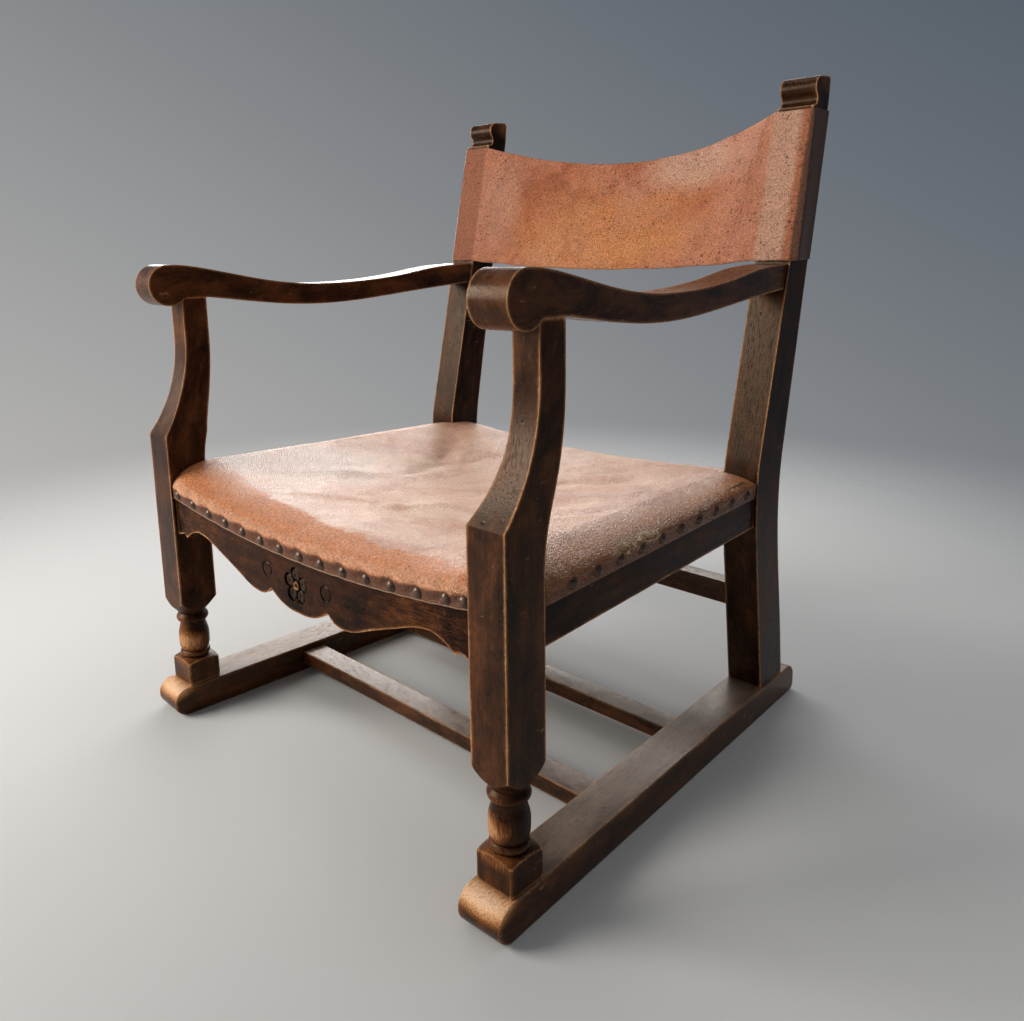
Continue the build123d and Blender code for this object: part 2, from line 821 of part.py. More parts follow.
# Lifts of the layers that lie on the bed
long_web_lift = web_thickness + soft_gap
cloth_lift = long_web_lift + web_thickness + soft_gap
pad_lift = cloth_lift + base_cloth_thickness + soft_gap
above_rails = bed_layer(long_web_lift, side_rail_top)

# Front rail with its shaped lower edge
rail_front_plane = Plane.XZ.offset(-y_at(rail_setback))
with BuildPart() as front_seat_rail:
    with BuildSketch(rail_front_plane):
        with BuildLine():
            with BuildLine() as half_edge:
                ThreePointArc(
                    (0, middle_lobe_height),
                    (0.53 * inner_cusp_x, 0.82 * middle_lobe_height + 0.18 * inner_cusp_height),
                    (inner_cusp_x, inner_cusp_height),
                )
                lobe_width = side_lobe_x - inner_cusp_x
                ThreePointArc(
                    (inner_cusp_x, inner_cusp_height),
                    (inner_cusp_x + 0.42 * lobe_width,
                     0.72 * side_lobe_height + 0.28 * inner_cusp_height),
                    (side_lobe_x, side_lobe_height),
                )
                ogee_run = arch_x - side_lobe_x
                ogee_rise = arch_height - side_lobe_height
                Spline(
                    (side_lobe_x, side_lobe_height),
                    (side_lobe_x + 0.3 * ogee_run, side_lobe_height + 0.26 * ogee_rise),
                    (side_lobe_x + 0.7 * ogee_run, side_lobe_height + 0.76 * ogee_rise),
                    (arch_x, arch_height),
                    tangents=((1, 0), (1, 0.05)),
                )
                ThreePointArc(
                    (arch_x, arch_height),
                    (0.42 * arch_x + 0.58 * outer_cusp_x, 0.62 * arch_height + 0.38 * outer_cusp_height),
                    (outer_cusp_x, outer_cusp_height),
                )
                Polyline(
                    (outer_cusp_x, outer_cusp_height), (outer_nick_x, outer_nick_height),
                    (leg_inner_x, outer_cusp_height), (leg_inner_x, side_rail_top + overrun)
                )
            mirror(half_edge.line, about=Plane.YZ)
            Line(
                (-leg_inner_x, side_rail_top + overrun), (leg_inner_x, side_rail_top + overrun)
            )
        make_face()
    extrude(amount=-rail_thickness)
    add(above_rails, mode=Mode.SUBTRACT)

    # Sunk rosette and two gouged rings
    with BuildSketch(rail_front_plane):
        with Locations((-carving_shift, rosette_height)):
            Circle(petal_ring_radius)
            with PolarLocations(petal_ring_radius, petal_count, start_angle=90):
                Circle(petal_hollow_radius)
    extrude(amount=-rosette_sink, mode=Mode.SUBTRACT)
    with Locations(rail_front_plane.offset(-petal_drop)):
        with Locations((-carving_shift, rosette_height, 0)):
            with PolarLocations(petal_ring_radius, petal_count, start_angle=90):
                with Locations((0, 0, -petal_dome_radius)):
                    Sphere(petal_dome_radius)
            with Locations((0, 0, -rosette_eye_radius)):
                Sphere(rosette_eye_radius)
    for x in (-gouge_spacing, gouge_spacing):
        with Locations(rail_front_plane):
            with Locations((x - carving_shift, gouge_height, 0)):
                Torus(gouge_radius, gouge_groove_radius, mode=Mode.SUBTRACT)
    add(front_rail_tenon())
    mirror(front_rail_tenon(), about=Plane.YZ)

# Rear rail
with BuildPart() as rear_seat_rail:
    with BuildSketch(Plane.XY.offset(side_rail_bottom)):
        with Locations((0, y_at(rear_rail_depth))):
            Rectangle(2 * post_inner_x, rail_thickness, align=(Align.CENTER, Align.MIN))
    extrude(amount=side_rail_top + overrun - side_rail_bottom)
    add(above_rails, mode=Mode.SUBTRACT)
    add(rear_rail_tenon())
    mirror(rear_rail_tenon(), about=Plane.YZ)

# Side rails
with BuildPart() as side_seat_rail_left:
    with BuildSketch(Plane.XY.offset(side_rail_bottom)):
        rail_end = rear_rail_depth
        Polygon(
            (rail_outer_x(leg_depth), y_at(leg_depth)), (rail_outer_x(rail_end), y_at(rail_end)),
            (bed_half_width(rail_end), y_at(rail_end)), (bed_half_width(leg_depth), y_at(leg_depth)),
            align=None
        )
    extrude(amount=side_rail_top - side_rail_bottom)
    add(post_blank.part, mode=Mode.SUBTRACT)
    add(side_rail_tenon(False))
    add(side_rail_tenon(True))
with BuildPart() as side_seat_rail_right:
    mirror(side_seat_rail_left.part, about=Plane.YZ)

# Back stretcher between the posts
with BuildPart() as back_stretcher:
    with BuildSketch(Plane.XY.offset(back_stretcher_bottom)):
        with Locations((0, y_at(back_stretcher_depth))):
            Rectangle(
                2 * post_inner_x, back_stretcher_thickness, align=(Align.CENTER, Align.MIN)
            )
    extrude(amount=back_stretcher_height)
    fillet(back_stretcher.edges().filter_by(Axis.X), arris)
    add(back_stretcher_tenon())
    mirror(back_stretcher_tenon(), about=Plane.YZ)

# Corner blocks, fitted against rail, leg or post, and rail
front_block_outline = (
    (leg_inner_x - front_block_reach, rail_setback + rail_thickness),
    (leg_inner_x, rail_setback + rail_thickness),
    (leg_inner_x, leg_depth),
    (bed_half_width(leg_depth), leg_depth),
    (bed_half_width(leg_depth + front_block_reach), leg_depth + front_block_reach),
)
rear_block_front = post_face_depth
rear_block_outline = (
    (post_inner_x - front_block_reach, rear_rail_depth),
    (post_inner_x, rear_rail_depth),
    (post_inner_x, rear_block_front),
    (bed_half_width(rear_block_front), rear_block_front),
    (bed_half_width(rear_block_front - front_block_reach), rear_block_front - front_block_reach),
)
corner_blocks = {}
for place, outline in (("front", front_block_outline), ("rear", rear_block_outline)):
    with BuildPart() as block_left:
        with BuildSketch(Plane.XY.offset(block_bottom)):
            Polygon(*[(x, y_at(depth)) for x, depth in outline], align=None)
        extrude(amount=block_top - block_bottom)
    with BuildPart() as block_right:
        mirror(block_left.part, about=Plane.YZ)
    corner_blocks[f"corner_block_{place}_left"] = block_left
    corner_blocks[f"corner_block_{place}_right"] = block_right


seat_rear_depth = rear_rail_depth + rail_thickness
seat_middle_depth = (rail_setback + seat_rear_depth) / 2
seat_half_depth = (seat_rear_depth - rail_setback) / 2


def corner_clearance():
    """What the legs and posts take out of the soft layers of the seat."""
    with BuildPart() as clearance:
        with BuildSketch():
            for sign in (-1, 1):
                with Locations((sign * (leg_inner_x - soft_gap), y_at(-overrun))):
                    Rectangle(
                        leg_span, leg_depth + overrun + soft_gap,
                        align=(Align.MIN if sign > 0 else Align.MAX, Align.MIN)
                    )
                with Locations((sign * (post_inner_x - soft_gap), y_at(post_face_depth - soft_gap))):
                    Rectangle(
                        leg_span, leg_depth + 2 * overrun,
                        align=(Align.MIN if sign > 0 else Align.MAX, Align.MIN)
                    )
        extrude(amount=arm_underside)
    return clearance.part


corners = corner_clearance()

def seat_form(skin):
    """Dished seat with rolled edges, grown by a skin; it reaches down past the hem."""
    low = hem_middle_height - overrun
    sections = [
        (rail_setback - skin + share * front_roll_depth, (1 - (1 - share) ** 2) ** 0.5, 0)
        for share in roll_shares
    ]
    sections.append((seat_middle_depth, 1, 0.5))
    sections += [
        (seat_rear_depth + skin - share * rear_roll_depth, (1 - (1 - share) ** 2) ** 0.5, 1)
        for share in reversed(roll_shares)
    ]
    with BuildPart() as form:
        for depth, rise, way_back in sections:
            dip = front_dip + way_back * (rear_dip - front_dip)
            edge_top = seat_edge_height + way_back * (seat_rear_edge_height - seat_edge_height)
            middle_top = seat_rim_middle - seat_hollow * (1 - abs(2 * way_back - 1))
            edge_start = side_rail_top + pad_lift
            middle_start = side_rail_top - dip + pad_lift
            edge = edge_start + rise * (edge_top + skin - edge_start)
            middle = middle_start + rise * (middle_top + skin - middle_start)
            outer = rail_outer_x(depth) + skin
            crest = rail_outer_x(depth) - side_roll_width
            with BuildSketch(Plane.XZ.offset(-y_at(depth))):
                with BuildLine():
                    for sign in (-1, 1):
                        Line((sign * outer, low), (sign * outer, side_rail_top))
                        ThreePointArc(
                            (sign * outer, side_rail_top),
                            (sign * (0.74 * outer + 0.26 * crest),
                             0.28 * side_rail_top + 0.72 * edge),
                            (sign * crest, edge),
                        )
                    ThreePointArc((-crest, edge), (0, middle), (crest, edge))
                    Line((-outer, low), (outer, low))
                make_face()
        loft(ruled=True)
    return form.part


inner_form = seat_form(-soft_gap)

# Webbing, lower straps across and upper straps from front to back
with BuildPart() as seat_webbing_across:
    with BuildSketch():
        for share in cross_web_shares:
            with Locations((0, y_at(seat_middle_depth + share * seat_half_depth))):
                Rectangle(leg_span, web_width)
    extrude(amount=arm_underside)
    add(bed_layer(0, web_thickness), mode=Mode.INTERSECT)
    add(inner_form, mode=Mode.INTERSECT)

with BuildPart() as seat_webbing_long:
    with BuildSketch():
        for share in long_web_shares:
            with Locations((share * leg_inner_x, y_at(rail_setback + web_inset))):
                Rectangle(
                    web_width, seat_rear_depth - rail_setback - 2 * web_inset,
                    align=(Align.CENTER, Align.MIN)
                )
    extrude(amount=arm_underside)
    add(bed_layer(long_web_lift, long_web_lift + web_thickness), mode=Mode.INTERSECT)

# Hessian base cloth over the webbing
with BuildPart() as seat_base_cloth:
    with BuildSketch():
        with Locations((0, y_at(rail_setback + web_inset))):
            Rectangle(
                2 * leg_span, seat_rear_depth - rail_setback - 2 * web_inset,
                align=(Align.CENTER, Align.MIN)
            )
    extrude(amount=arm_underside)
    add(bed_layer(cloth_lift, cloth_lift + base_cloth_thickness), mode=Mode.INTERSECT)
    add(inner_form, mode=Mode.INTERSECT)
    add(corners, mode=Mode.SUBTRACT)

# Stuffing
with BuildPart() as seat_stuffing:
    add(inner_form)
    add(bed_layer(pad_lift, side_rail_top), mode=Mode.INTERSECT)
    add(corners, mode=Mode.SUBTRACT)

# One dome-headed nail, with its head on the XY plane
with BuildPart() as nail:
    with BuildSketch(Plane.XZ):
        with BuildLine():
            nail_dome_arc = ThreePointArc(
                (0, nail_dome),
                (0.7 * nail_head_radius, 0.66 * nail_dome),
                (nail_head_radius, 0),
            )
            Polyline(
                nail_dome_arc @ 1, (nail_shank_radius, 0), (nail_shank_radius, -nail_shank_length),
                (0, -nail_shank_length), nail_dome_arc @ 0
            )
        make_face()
    revolve(axis=Axis.Z)


def nail_group(planes):
    """Nails with their heads on the given planes."""
    with BuildPart() as group:
        with Locations(*planes):
            add(nail.part)
    return group


def spread(count, reach):
    """Evenly spaced places from -reach to reach."""
    return [reach * (2 * index / (count - 1) - 1) for index in range(count)]


def facing(x, depth, height, direction):
    """Plane whose Z axis points the way the nail's head faces."""
    return Plane(origin=(x, y_at(depth), height), z_dir=direction)


hem_rise = hem_end_height - hem_middle_height
front_nail_places = [front_nail_first_x + front_nail_pitch * step for step in range(front_nail_count)]
seat_nails_front = nail_group([
    facing(
        x, rail_setback - leather,
        hem_middle_height + hem_rise * (x / leg_inner_x) ** 2 + front_nail_margin, (0, -1, 0)
    )
    for x in front_nail_places + [front_nail_last_x]
])
seat_nails_rear = nail_group([
    facing(x, seat_rear_depth + leather, rear_nail_height, (0, 1, 0))
    for x in spread(rear_nail_count, rear_nail_reach)
])
outwards = (cos(radians(rail_angle)), sin(radians(rail_angle)), 0)
side_nail_planes = []
for index in range(side_nail_count):
    nail_depth = side_nail_first_depth + index * side_nail_pitch
    side_nail_planes.append(
        facing(
            rail_outer_x(nail_depth) + leather / cos(radians(rail_angle)), nail_depth,
            side_nail_height, outwards
        )
    )
seat_nails_left = nail_group(side_nail_planes)
with BuildPart() as seat_nails_right:
    mirror(seat_nails_left.part, about=Plane.YZ)

back_nail_planes = []
for index in range(back_nail_count):
    nail_height = bottom_nail_height + index * back_nail_pitch
    back_nail_planes.append(
        facing(
            post_outer_x - back_nail_inset, post_back(nail_height) + leather, nail_height,
            (0, 1, -back_rake)
        )
    )
back_nails_left = nail_group(back_nail_planes)
with BuildPart() as back_nails_right:
    mirror(back_nails_left.part, about=Plane.YZ)

# Seat leather: a skin over the stuffing with skirts down to the nailed hem
with BuildPart() as seat_leather:
    add(seat_form(leather))
    add(seat_form(0), mode=Mode.SUBTRACT)
    add(corners, mode=Mode.SUBTRACT)
    for start_depth, end_depth, hem_line in (
        (leg_depth, seat_rear_depth - rail_thickness, hem_height),
        (seat_rear_depth - rail_thickness, seat_rear_depth + overrun, rear_hem_height),
    ):
        with BuildSketch(Plane.XY):
            with Locations((0, y_at(start_depth))):
                Rectangle(
                    2 * leg_span, end_depth - start_depth, align=(Align.CENTER, Align.MIN)
                )
        extrude(amount=hem_line, mode=Mode.SUBTRACT)
    with BuildSketch(Plane.XZ.offset(-y_at(leg_depth))):
        with BuildLine():
            hem = ThreePointArc(
                (-leg_inner_x, hem_end_height), (0, hem_middle_height), (leg_inner_x, hem_end_height)
            )
            Polyline(hem @ 1, (leg_inner_x, 0), (-leg_inner_x, 0), hem @ 0)
        make_face()
    extrude(amount=leg_depth + overrun, mode=Mode.SUBTRACT)
    for group in (seat_nails_front, seat_nails_rear, seat_nails_left, seat_nails_right):
        add(group.part, mode=Mode.SUBTRACT)


def sling_section(height, bow):
    """Plan of the back leather at one height: round both posts and slack between them."""
    front = post_front(height)
    back = post_back(height)
    with BuildLine() as path:
        for skin in (0, leather):
            outer = post_outer_x + skin
            sling = ThreePointArc(
                (-post_inner_x, y_at(front - skin)), (0, y_at(front + bow - skin)),
                (post_inner_x, y_at(front - skin))
            )
            for sign in (-1, 1):
                Polyline(
                    (sign * post_inner_x, y_at(front - skin)), (sign * outer, y_at(front - skin)),
                    (sign * outer, y_at(back + skin)),
                    (sign * (post_outer_x - sling_flap), y_at(back + skin))
                )
        for sign in (-1, 1):
            Line(
                (sign * (post_outer_x - sling_flap), y_at(back)),
                (sign * (post_outer_x - sling_flap), y_at(back + leather))
            )
    return path.line


# Back leather
with BuildPart() as back_leather:
    for height, bow in (
        (sling_bottom_middle - overrun, sling_bottom_bow), (sling_top + overrun, sling_top_bow)
    ):
        with BuildSketch(Plane.XY.offset(height)):
            with BuildLine():
                add(sling_section(height, bow))
            make_face()
    loft(ruled=True)
    with BuildSketch(Plane.XZ.offset(-y_at(post_front(sling_bottom) - 2 * overrun))):
        with BuildLine():
            lower_edge = ThreePointArc(
                (-post_inner_x, sling_bottom), (0, sling_bottom_middle), (post_inner_x, sling_bottom)
            )
            upper_edge = ThreePointArc(
                (-post_inner_x, sling_top), (0, sling_top_middle), (post_inner_x, sling_top)
            )
            for sign, lower_end, upper_end in (
                (-1, lower_edge @ 0, upper_edge @ 0), (1, lower_edge @ 1, upper_edge @ 1)
            ):
                Polyline(
                    lower_end, (sign * leg_outer_x, sling_bottom), (sign * leg_outer_x, sling_top),
                    upper_end
                )
        make_face()
    extrude(amount=-rear_reach, mode=Mode.INTERSECT)
    for group in (back_nails_left, back_nails_right):
        add(group.part, mode=Mode.SUBTRACT)

# The nails drive into the wood
for piece, groups in (
    (front_seat_rail, (seat_nails_front,)),
    (rear_seat_rail, (seat_nails_rear,)),
    (side_seat_rail_left, (seat_nails_left,)),
    (side_seat_rail_right, (seat_nails_right,)),
    (back_post_left, (back_nails_left,)),
    (back_post_right, (back_nails_right,)),
):
    with piece:
        for group in groups:
            add(group.part, mode=Mode.SUBTRACT)

pieces = {
    "runner_left": runner_left,
    "runner_right": runner_right,
    "front_stretcher": stretchers["front_stretcher"],
    "rear_stretcher": stretchers["rear_stretcher"],
    "back_stretcher": back_stretcher,
    "front_leg_left": front_leg_left,
    "front_leg_right": front_leg_right,
    "back_post_left": back_post_left,
    "back_post_right": back_post_right,
    "arm_left": arm_left,
    "arm_right": arm_right,
    "front_seat_rail": front_seat_rail,
    "rear_seat_rail": rear_seat_rail,
    "side_seat_rail_left": side_seat_rail_left,
    "side_seat_rail_right": side_seat_rail_right,
    **corner_blocks,
    "seat_webbing_across": seat_webbing_across,
    "seat_webbing_long": seat_webbing_long,
    "seat_base_cloth": seat_base_cloth,
    "seat_stuffing": seat_stuffing,
    "seat_leather": seat_leather,
    "back_leather": back_leather,
    "seat_nails_front": seat_nails_front,
    "seat_nails_rear": seat_nails_rear,
    "seat_nails_left": seat_nails_left,
    "seat_nails_right": seat_nails_right,
    "back_nails_left": back_nails_left,
    "back_nails_right": back_nails_right,
}
for name, piece in pieces.items():
    piece.part.label = name
    export_step(piece.part, f"parts/{name}.step")
    print(name, round(piece.part.volume / 1000, 1), "cm3")
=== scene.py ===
from math import atan2, cos, exp, pi, radians, sin, sqrt

import bmesh
import bpy
from mathutils import Matrix, Vector, noise


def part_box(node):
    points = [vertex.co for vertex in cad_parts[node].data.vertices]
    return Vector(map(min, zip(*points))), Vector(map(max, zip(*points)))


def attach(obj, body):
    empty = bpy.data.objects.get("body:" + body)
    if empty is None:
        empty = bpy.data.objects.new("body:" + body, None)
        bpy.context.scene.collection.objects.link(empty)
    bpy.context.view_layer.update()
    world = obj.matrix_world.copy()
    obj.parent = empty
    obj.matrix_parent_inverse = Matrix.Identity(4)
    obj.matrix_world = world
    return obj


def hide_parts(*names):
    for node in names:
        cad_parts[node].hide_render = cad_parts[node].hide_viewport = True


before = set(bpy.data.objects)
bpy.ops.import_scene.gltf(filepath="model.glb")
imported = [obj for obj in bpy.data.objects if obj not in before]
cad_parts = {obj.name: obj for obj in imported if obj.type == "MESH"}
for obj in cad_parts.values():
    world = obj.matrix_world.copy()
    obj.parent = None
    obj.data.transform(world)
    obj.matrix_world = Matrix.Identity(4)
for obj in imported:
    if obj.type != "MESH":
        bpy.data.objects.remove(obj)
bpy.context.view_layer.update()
print("stage: frame loaded")

# Places read from the frame
legLow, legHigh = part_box("front_leg_left")
postLow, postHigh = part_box("back_post_left")
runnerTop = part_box("runner_left")[1].z
frontY = legLow.y


def fromFront(depth):
    # Y of a depth behind the front legs' faces
    return frontY + depth


def clipped(value, low=0.0, high=1.0):
    return min(max(value, low), high)


def smoothStep(value, low=0.0, high=1.0):
    share = clipped((value - low) / (high - low))
    return share * share * (3 - 2 * share)


def mix(first, second, share):
    return first + (second - first) * share


def waver(x, y, z):
    # Soft random value between -1 and 1
    return noise.noise(Vector((x, y, z)))


# Camera, solved from the photograph as one perspective view
viewPoint = {
    "place": (0.7541, -0.7749, 0.5914),
    "yaw": 45.0,
    "pitch": -11.66,
    "roll": -1.2,
    "sensor": 36.0,
    "lens": 31.36,
    "shift": (0.0400, -0.0826),
}


def placeCamera(settings):
    place = Matrix.Translation(settings["place"])
    for angle, axis in ((settings["yaw"], "Z"), (90 + settings["pitch"], "X"), (settings["roll"], "Z")):
        place @= Matrix.Rotation(radians(angle), 4, axis)
    data = bpy.data.cameras.new("camera")
    data.sensor_width = settings["sensor"]
    data.lens = settings["lens"]
    data.shift_x, data.shift_y = settings["shift"]
    camera = bpy.data.objects.new("camera", data)
    camera.matrix_world = place
    bpy.context.scene.collection.objects.link(camera)
    bpy.context.scene.camera = camera


placeCamera(viewPoint)


# Node helpers
def addNode(tree, kind, **values):
    node = tree.nodes.new("ShaderNode" + kind)
    for key, value in values.items():
        setattr(node, key, value)
    return node


def feed(socket, value):
    # Links a wire, or sets a plain value; colors are opaque
    if isinstance(value, Wire):
        socket.id_data.links.new(value.socket, socket)
    else:
        socket.default_value = (*value, 1) if socket.type == "RGBA" else value


class Wire:
    # An output of a node; sums, products and textures of it add the next node
    def __init__(self, socket):
        self.socket = socket

    def then(self, kind, output, inputs=None, **values):
        node = addNode(self.socket.id_data, kind, **values)
        for key, value in (inputs or {}).items():
            feed(node.inputs[key], value)
        return Wire(node.outputs[output])

    def math(self, operation, other=0.0, clamp=False):
        return self.then("Math", "Value", {0: self, 1: other}, operation=operation, use_clamp=clamp)

    def __add__(self, other):
        return self.math("ADD", other)

    def __sub__(self, other):
        return self.math("SUBTRACT", other)

    def __rsub__(self, other):
        return self.then("Math", "Value", {0: other, 1: self}, operation="SUBTRACT")

    def __mul__(self, other):
        return self.math("MULTIPLY", other)

    def most(self, other):
        return self.math("MAXIMUM", other)

    def ranged(self, low, high, outLow=0.0, outHigh=1.0, kind="LINEAR"):
        inputs = {"Value": self, "From Min": low, "From Max": high, "To Min": outLow, "To Max": outHigh}
        return self.then("MapRange", "Result", inputs, clamp=True, interpolation_type=kind)

    def jittered(self, wander, reach):
        return self + (wander - 0.5) * reach

    def between(self, first, second):
        # Blend of two colors by this share
        return self.then("Mix", 2, {0: self, 6: first, 7: second}, data_type="RGBA", blend_type="MIX")

    def bumped(self, distance, strength):
        return self.then("Bump", "Normal", {"Strength": strength, "Distance": distance, "Height": self})

    def axis(self, name):
        return self.then("SeparateXYZ", name, {"Vector": self})

    def vector(self, operation, other=None):
        inputs = {0: self}
        if other is not None:
            inputs["Scale" if operation == "SCALE" else 1] = other
        output = "Value" if operation in ("LENGTH", "DOT_PRODUCT") else "Vector"
        return self.then("VectorMath", output, inputs, operation=operation)

    def stretched(self, scale, turn=(0, 0, 0), place=(0, 0, 0)):
        inputs = {"Vector": self, "Location": place, "Rotation": turn, "Scale": scale}
        return self.then("Mapping", "Vector", inputs)

    def noise(self, scale, detail=4.0, roughness=0.55, distortion=0.0):
        inputs = {"Scale": scale, "Detail": detail, "Roughness": roughness, "Distortion": distortion}
        return self.then("TexNoise", "Fac", {"Vector": self, **inputs})

    def cells(self, scale, feature="F1"):
        return self.then("TexVoronoi", "Distance", {"Vector": self, "Scale": scale}, feature=feature)

    def group(self, nodeGroup, **values):
        # A node group laid on this place
        node = addNode(self.socket.id_data, "Group", node_tree=nodeGroup)
        feed(node.inputs[0], self)
        for key, value in values.items():
            feed(node.inputs[key], value)
        return {socket.name: Wire(socket) for socket in node.outputs}

    def spotAt(self, centre, size):
        return self.group(softSpot, Centre=centre, Size=size)["Rubbed"]


def joined(x, y, z):
    return x.then("CombineXYZ", "Vector", {"X": x, "Y": y, "Z": z})


def layered(color, *layers):
    # Paint over a color, layer by layer
    for share, paint in layers:
        color = share.between(color, paint)
    return color


def newMaterial(name):
    # A material and its object coordinates
    material = bpy.data.materials.new(name)
    material.use_nodes = True
    return material, Wire(addNode(material.node_tree, "TexCoord").outputs["Object"])


def finished(material, color, rough, normal=None, gloss=0.5, tint=(1, 1, 1), metal=0.0):
    values = {"Base Color": color, "Roughness": rough, "Metallic": metal}
    values |= {"Specular IOR Level": gloss, "Specular Tint": tint}
    if normal:
        values["Normal"] = normal
    for label, value in values.items():
        feed(material.node_tree.nodes["Principled BSDF"].inputs[label], value)
    return material


def makeGroup(name, build, **inputs):
    # Node group that puts out what build returns, by name
    tree = bpy.data.node_groups.new(name, "ShaderNodeTree")
    for label, kind in inputs.items():
        tree.interface.new_socket(label, in_out="INPUT", socket_type="NodeSocket" + kind)
    given = tree.nodes.new("NodeGroupInput")
    results = build(*(Wire(given.outputs[label]) for label in inputs))
    for label in results:
        tree.interface.new_socket(label, in_out="OUTPUT", socket_type="NodeSocketFloat")
    end = tree.nodes.new("NodeGroupOutput")
    for label, value in results.items():
        feed(end.inputs[label], value)
    return tree


def wearOfArrisesAndCreviceShade(place, reach, amount):
    # How near the surface is to an outside edge, broken up by rubbing; and how deep in a crevice or joint it
    # lies, for painted shade
    inside = place.then("AmbientOcclusion", "AO", {"Distance": reach}, samples=5, inside=True,
                        only_local=True)
    blotches, fine = place.noise(26.0, 5.0, 0.70), place.noise(420.0, 3.0, 0.6)
    broken = (blotches - 0.5) * 0.60 + (fine - 0.5) * 0.30
    level = 1.0 - inside + broken + amount
    # Ambient occlusion from outside finds crevices and joints, where shade is painted
    outside = place.then("AmbientOcclusion", "AO", {"Distance": 0.011}, samples=5)
    return {
        "Worn": level.ranged(0.29, 0.42),
        "Bare": level.ranged(0.42, 0.55),
        "Crevice": outside.ranged(0.66, 0.25),
    }


def figureOfOak(along):
    # Long fibres, open pores and broad staining along Z
    broad = along.stretched((70, 70, 6)).noise(1.0, 4.0, 0.6, 0.5)
    fine = along.stretched((520, 520, 24)).noise(1.0, 4.0, 0.6, 0.2)
    return {
        "Fibre": broad * 0.65 + fine * 0.35,
        "Streaks": along.stretched((900, 900, 70)).noise(1.0, 4.0, 0.75),
        "Pores": along.stretched((1500, 1500, 110)).noise(1.0, 2.0, 0.5).ranged(0.57, 0.68),
        "Cloud": along.stretched((24, 24, 14)).noise(1.0, 7.0, 0.72, 0.4),
    }


def marksOfUse(place):
    # Small knocks and thin pale scratches
    first, second, third = (
        place.stretched((1100, 34, 150), turn).noise(1.0 + 0.13 * index, 1.0, 0.4, 0.7).ranged(0.745, 0.80)
        for index, turn in enumerate(((0.3, 0.2, 0.5), (1.1, 0.7, -0.4), (-0.5, 1.3, 0.9)))
    )
    lines = first.most(second).most(third).most(place.noise(520.0, 1.0, 0.5).ranged(0.735, 0.78))
    return {
        "Dents": place.cells(60.0).ranged(0.15, 0.06) * place.noise(37.0, 2.0, 0.5).ranged(0.56, 0.60),
        "Scratches": lines * place.noise(22.0, 4.0, 0.7).ranged(0.47, 0.58),
    }


def softSpotAt(place, centre, size):
    # A soft round spot, full in its middle and gone at its edge, for extra rubbing, painted highlight and
    # other local marks
    away = place.vector("SUBTRACT", centre).vector("DIVIDE", size).vector("LENGTH")
    return {"Rubbed": away.ranged(1.0, 0.35)}


arrisWearAndCreviceShade = makeGroup("arrisWearAndCreviceShade", wearOfArrisesAndCreviceShade, Place="Vector", Reach="Float", Amount="Float")
oakFigure = makeGroup("oakFigure", figureOfOak, Along="Vector")
knocks = makeGroup("knocks", marksOfUse, Place="Vector")
softSpot = makeGroup("softSpot", softSpotAt, Place="Vector", Centre="Vector", Size="Vector")

oak = {
    "dark": (0.0085, 0.0028, 0.0014),
    "brown": (0.044, 0.0140, 0.0052),
    "warm": (0.135, 0.044, 0.0140),
    "worn": (0.30, 0.098, 0.022),
    "bare": (0.80, 0.42, 0.195),
    "pale": (0.86, 0.60, 0.42),
    "pore": (0.0045, 0.0018, 0.0010),
    "dustAndSheen": (0.19, 0.145, 0.110),
    "scratch": (0.50, 0.27, 0.14),
    "polish": (1.0, 0.70, 0.48),
    "reach": 0.0044,
}
grainTurn = {"upright": (0, 0, 0), "lengthwise": (radians(90), 0, 0), "crosswise": (0, radians(90), 0)}


def mirroredPlace(here):
    # The left side folded onto the right, so both sides get the same rubbing and painted highlight
    return joined(here.axis("X").math("ABSOLUTE"), here.axis("Y"), here.axis("Z"))


def leanedPlace(here, low, high, shift, kind):
    # Pushed back with height, so the grain follows a leaning or swept piece
    lean = here.axis("Z").ranged(low, high, 0.0, shift, kind)
    return joined(here.axis("X"), here.axis("Y") - lean, here.axis("Z"))


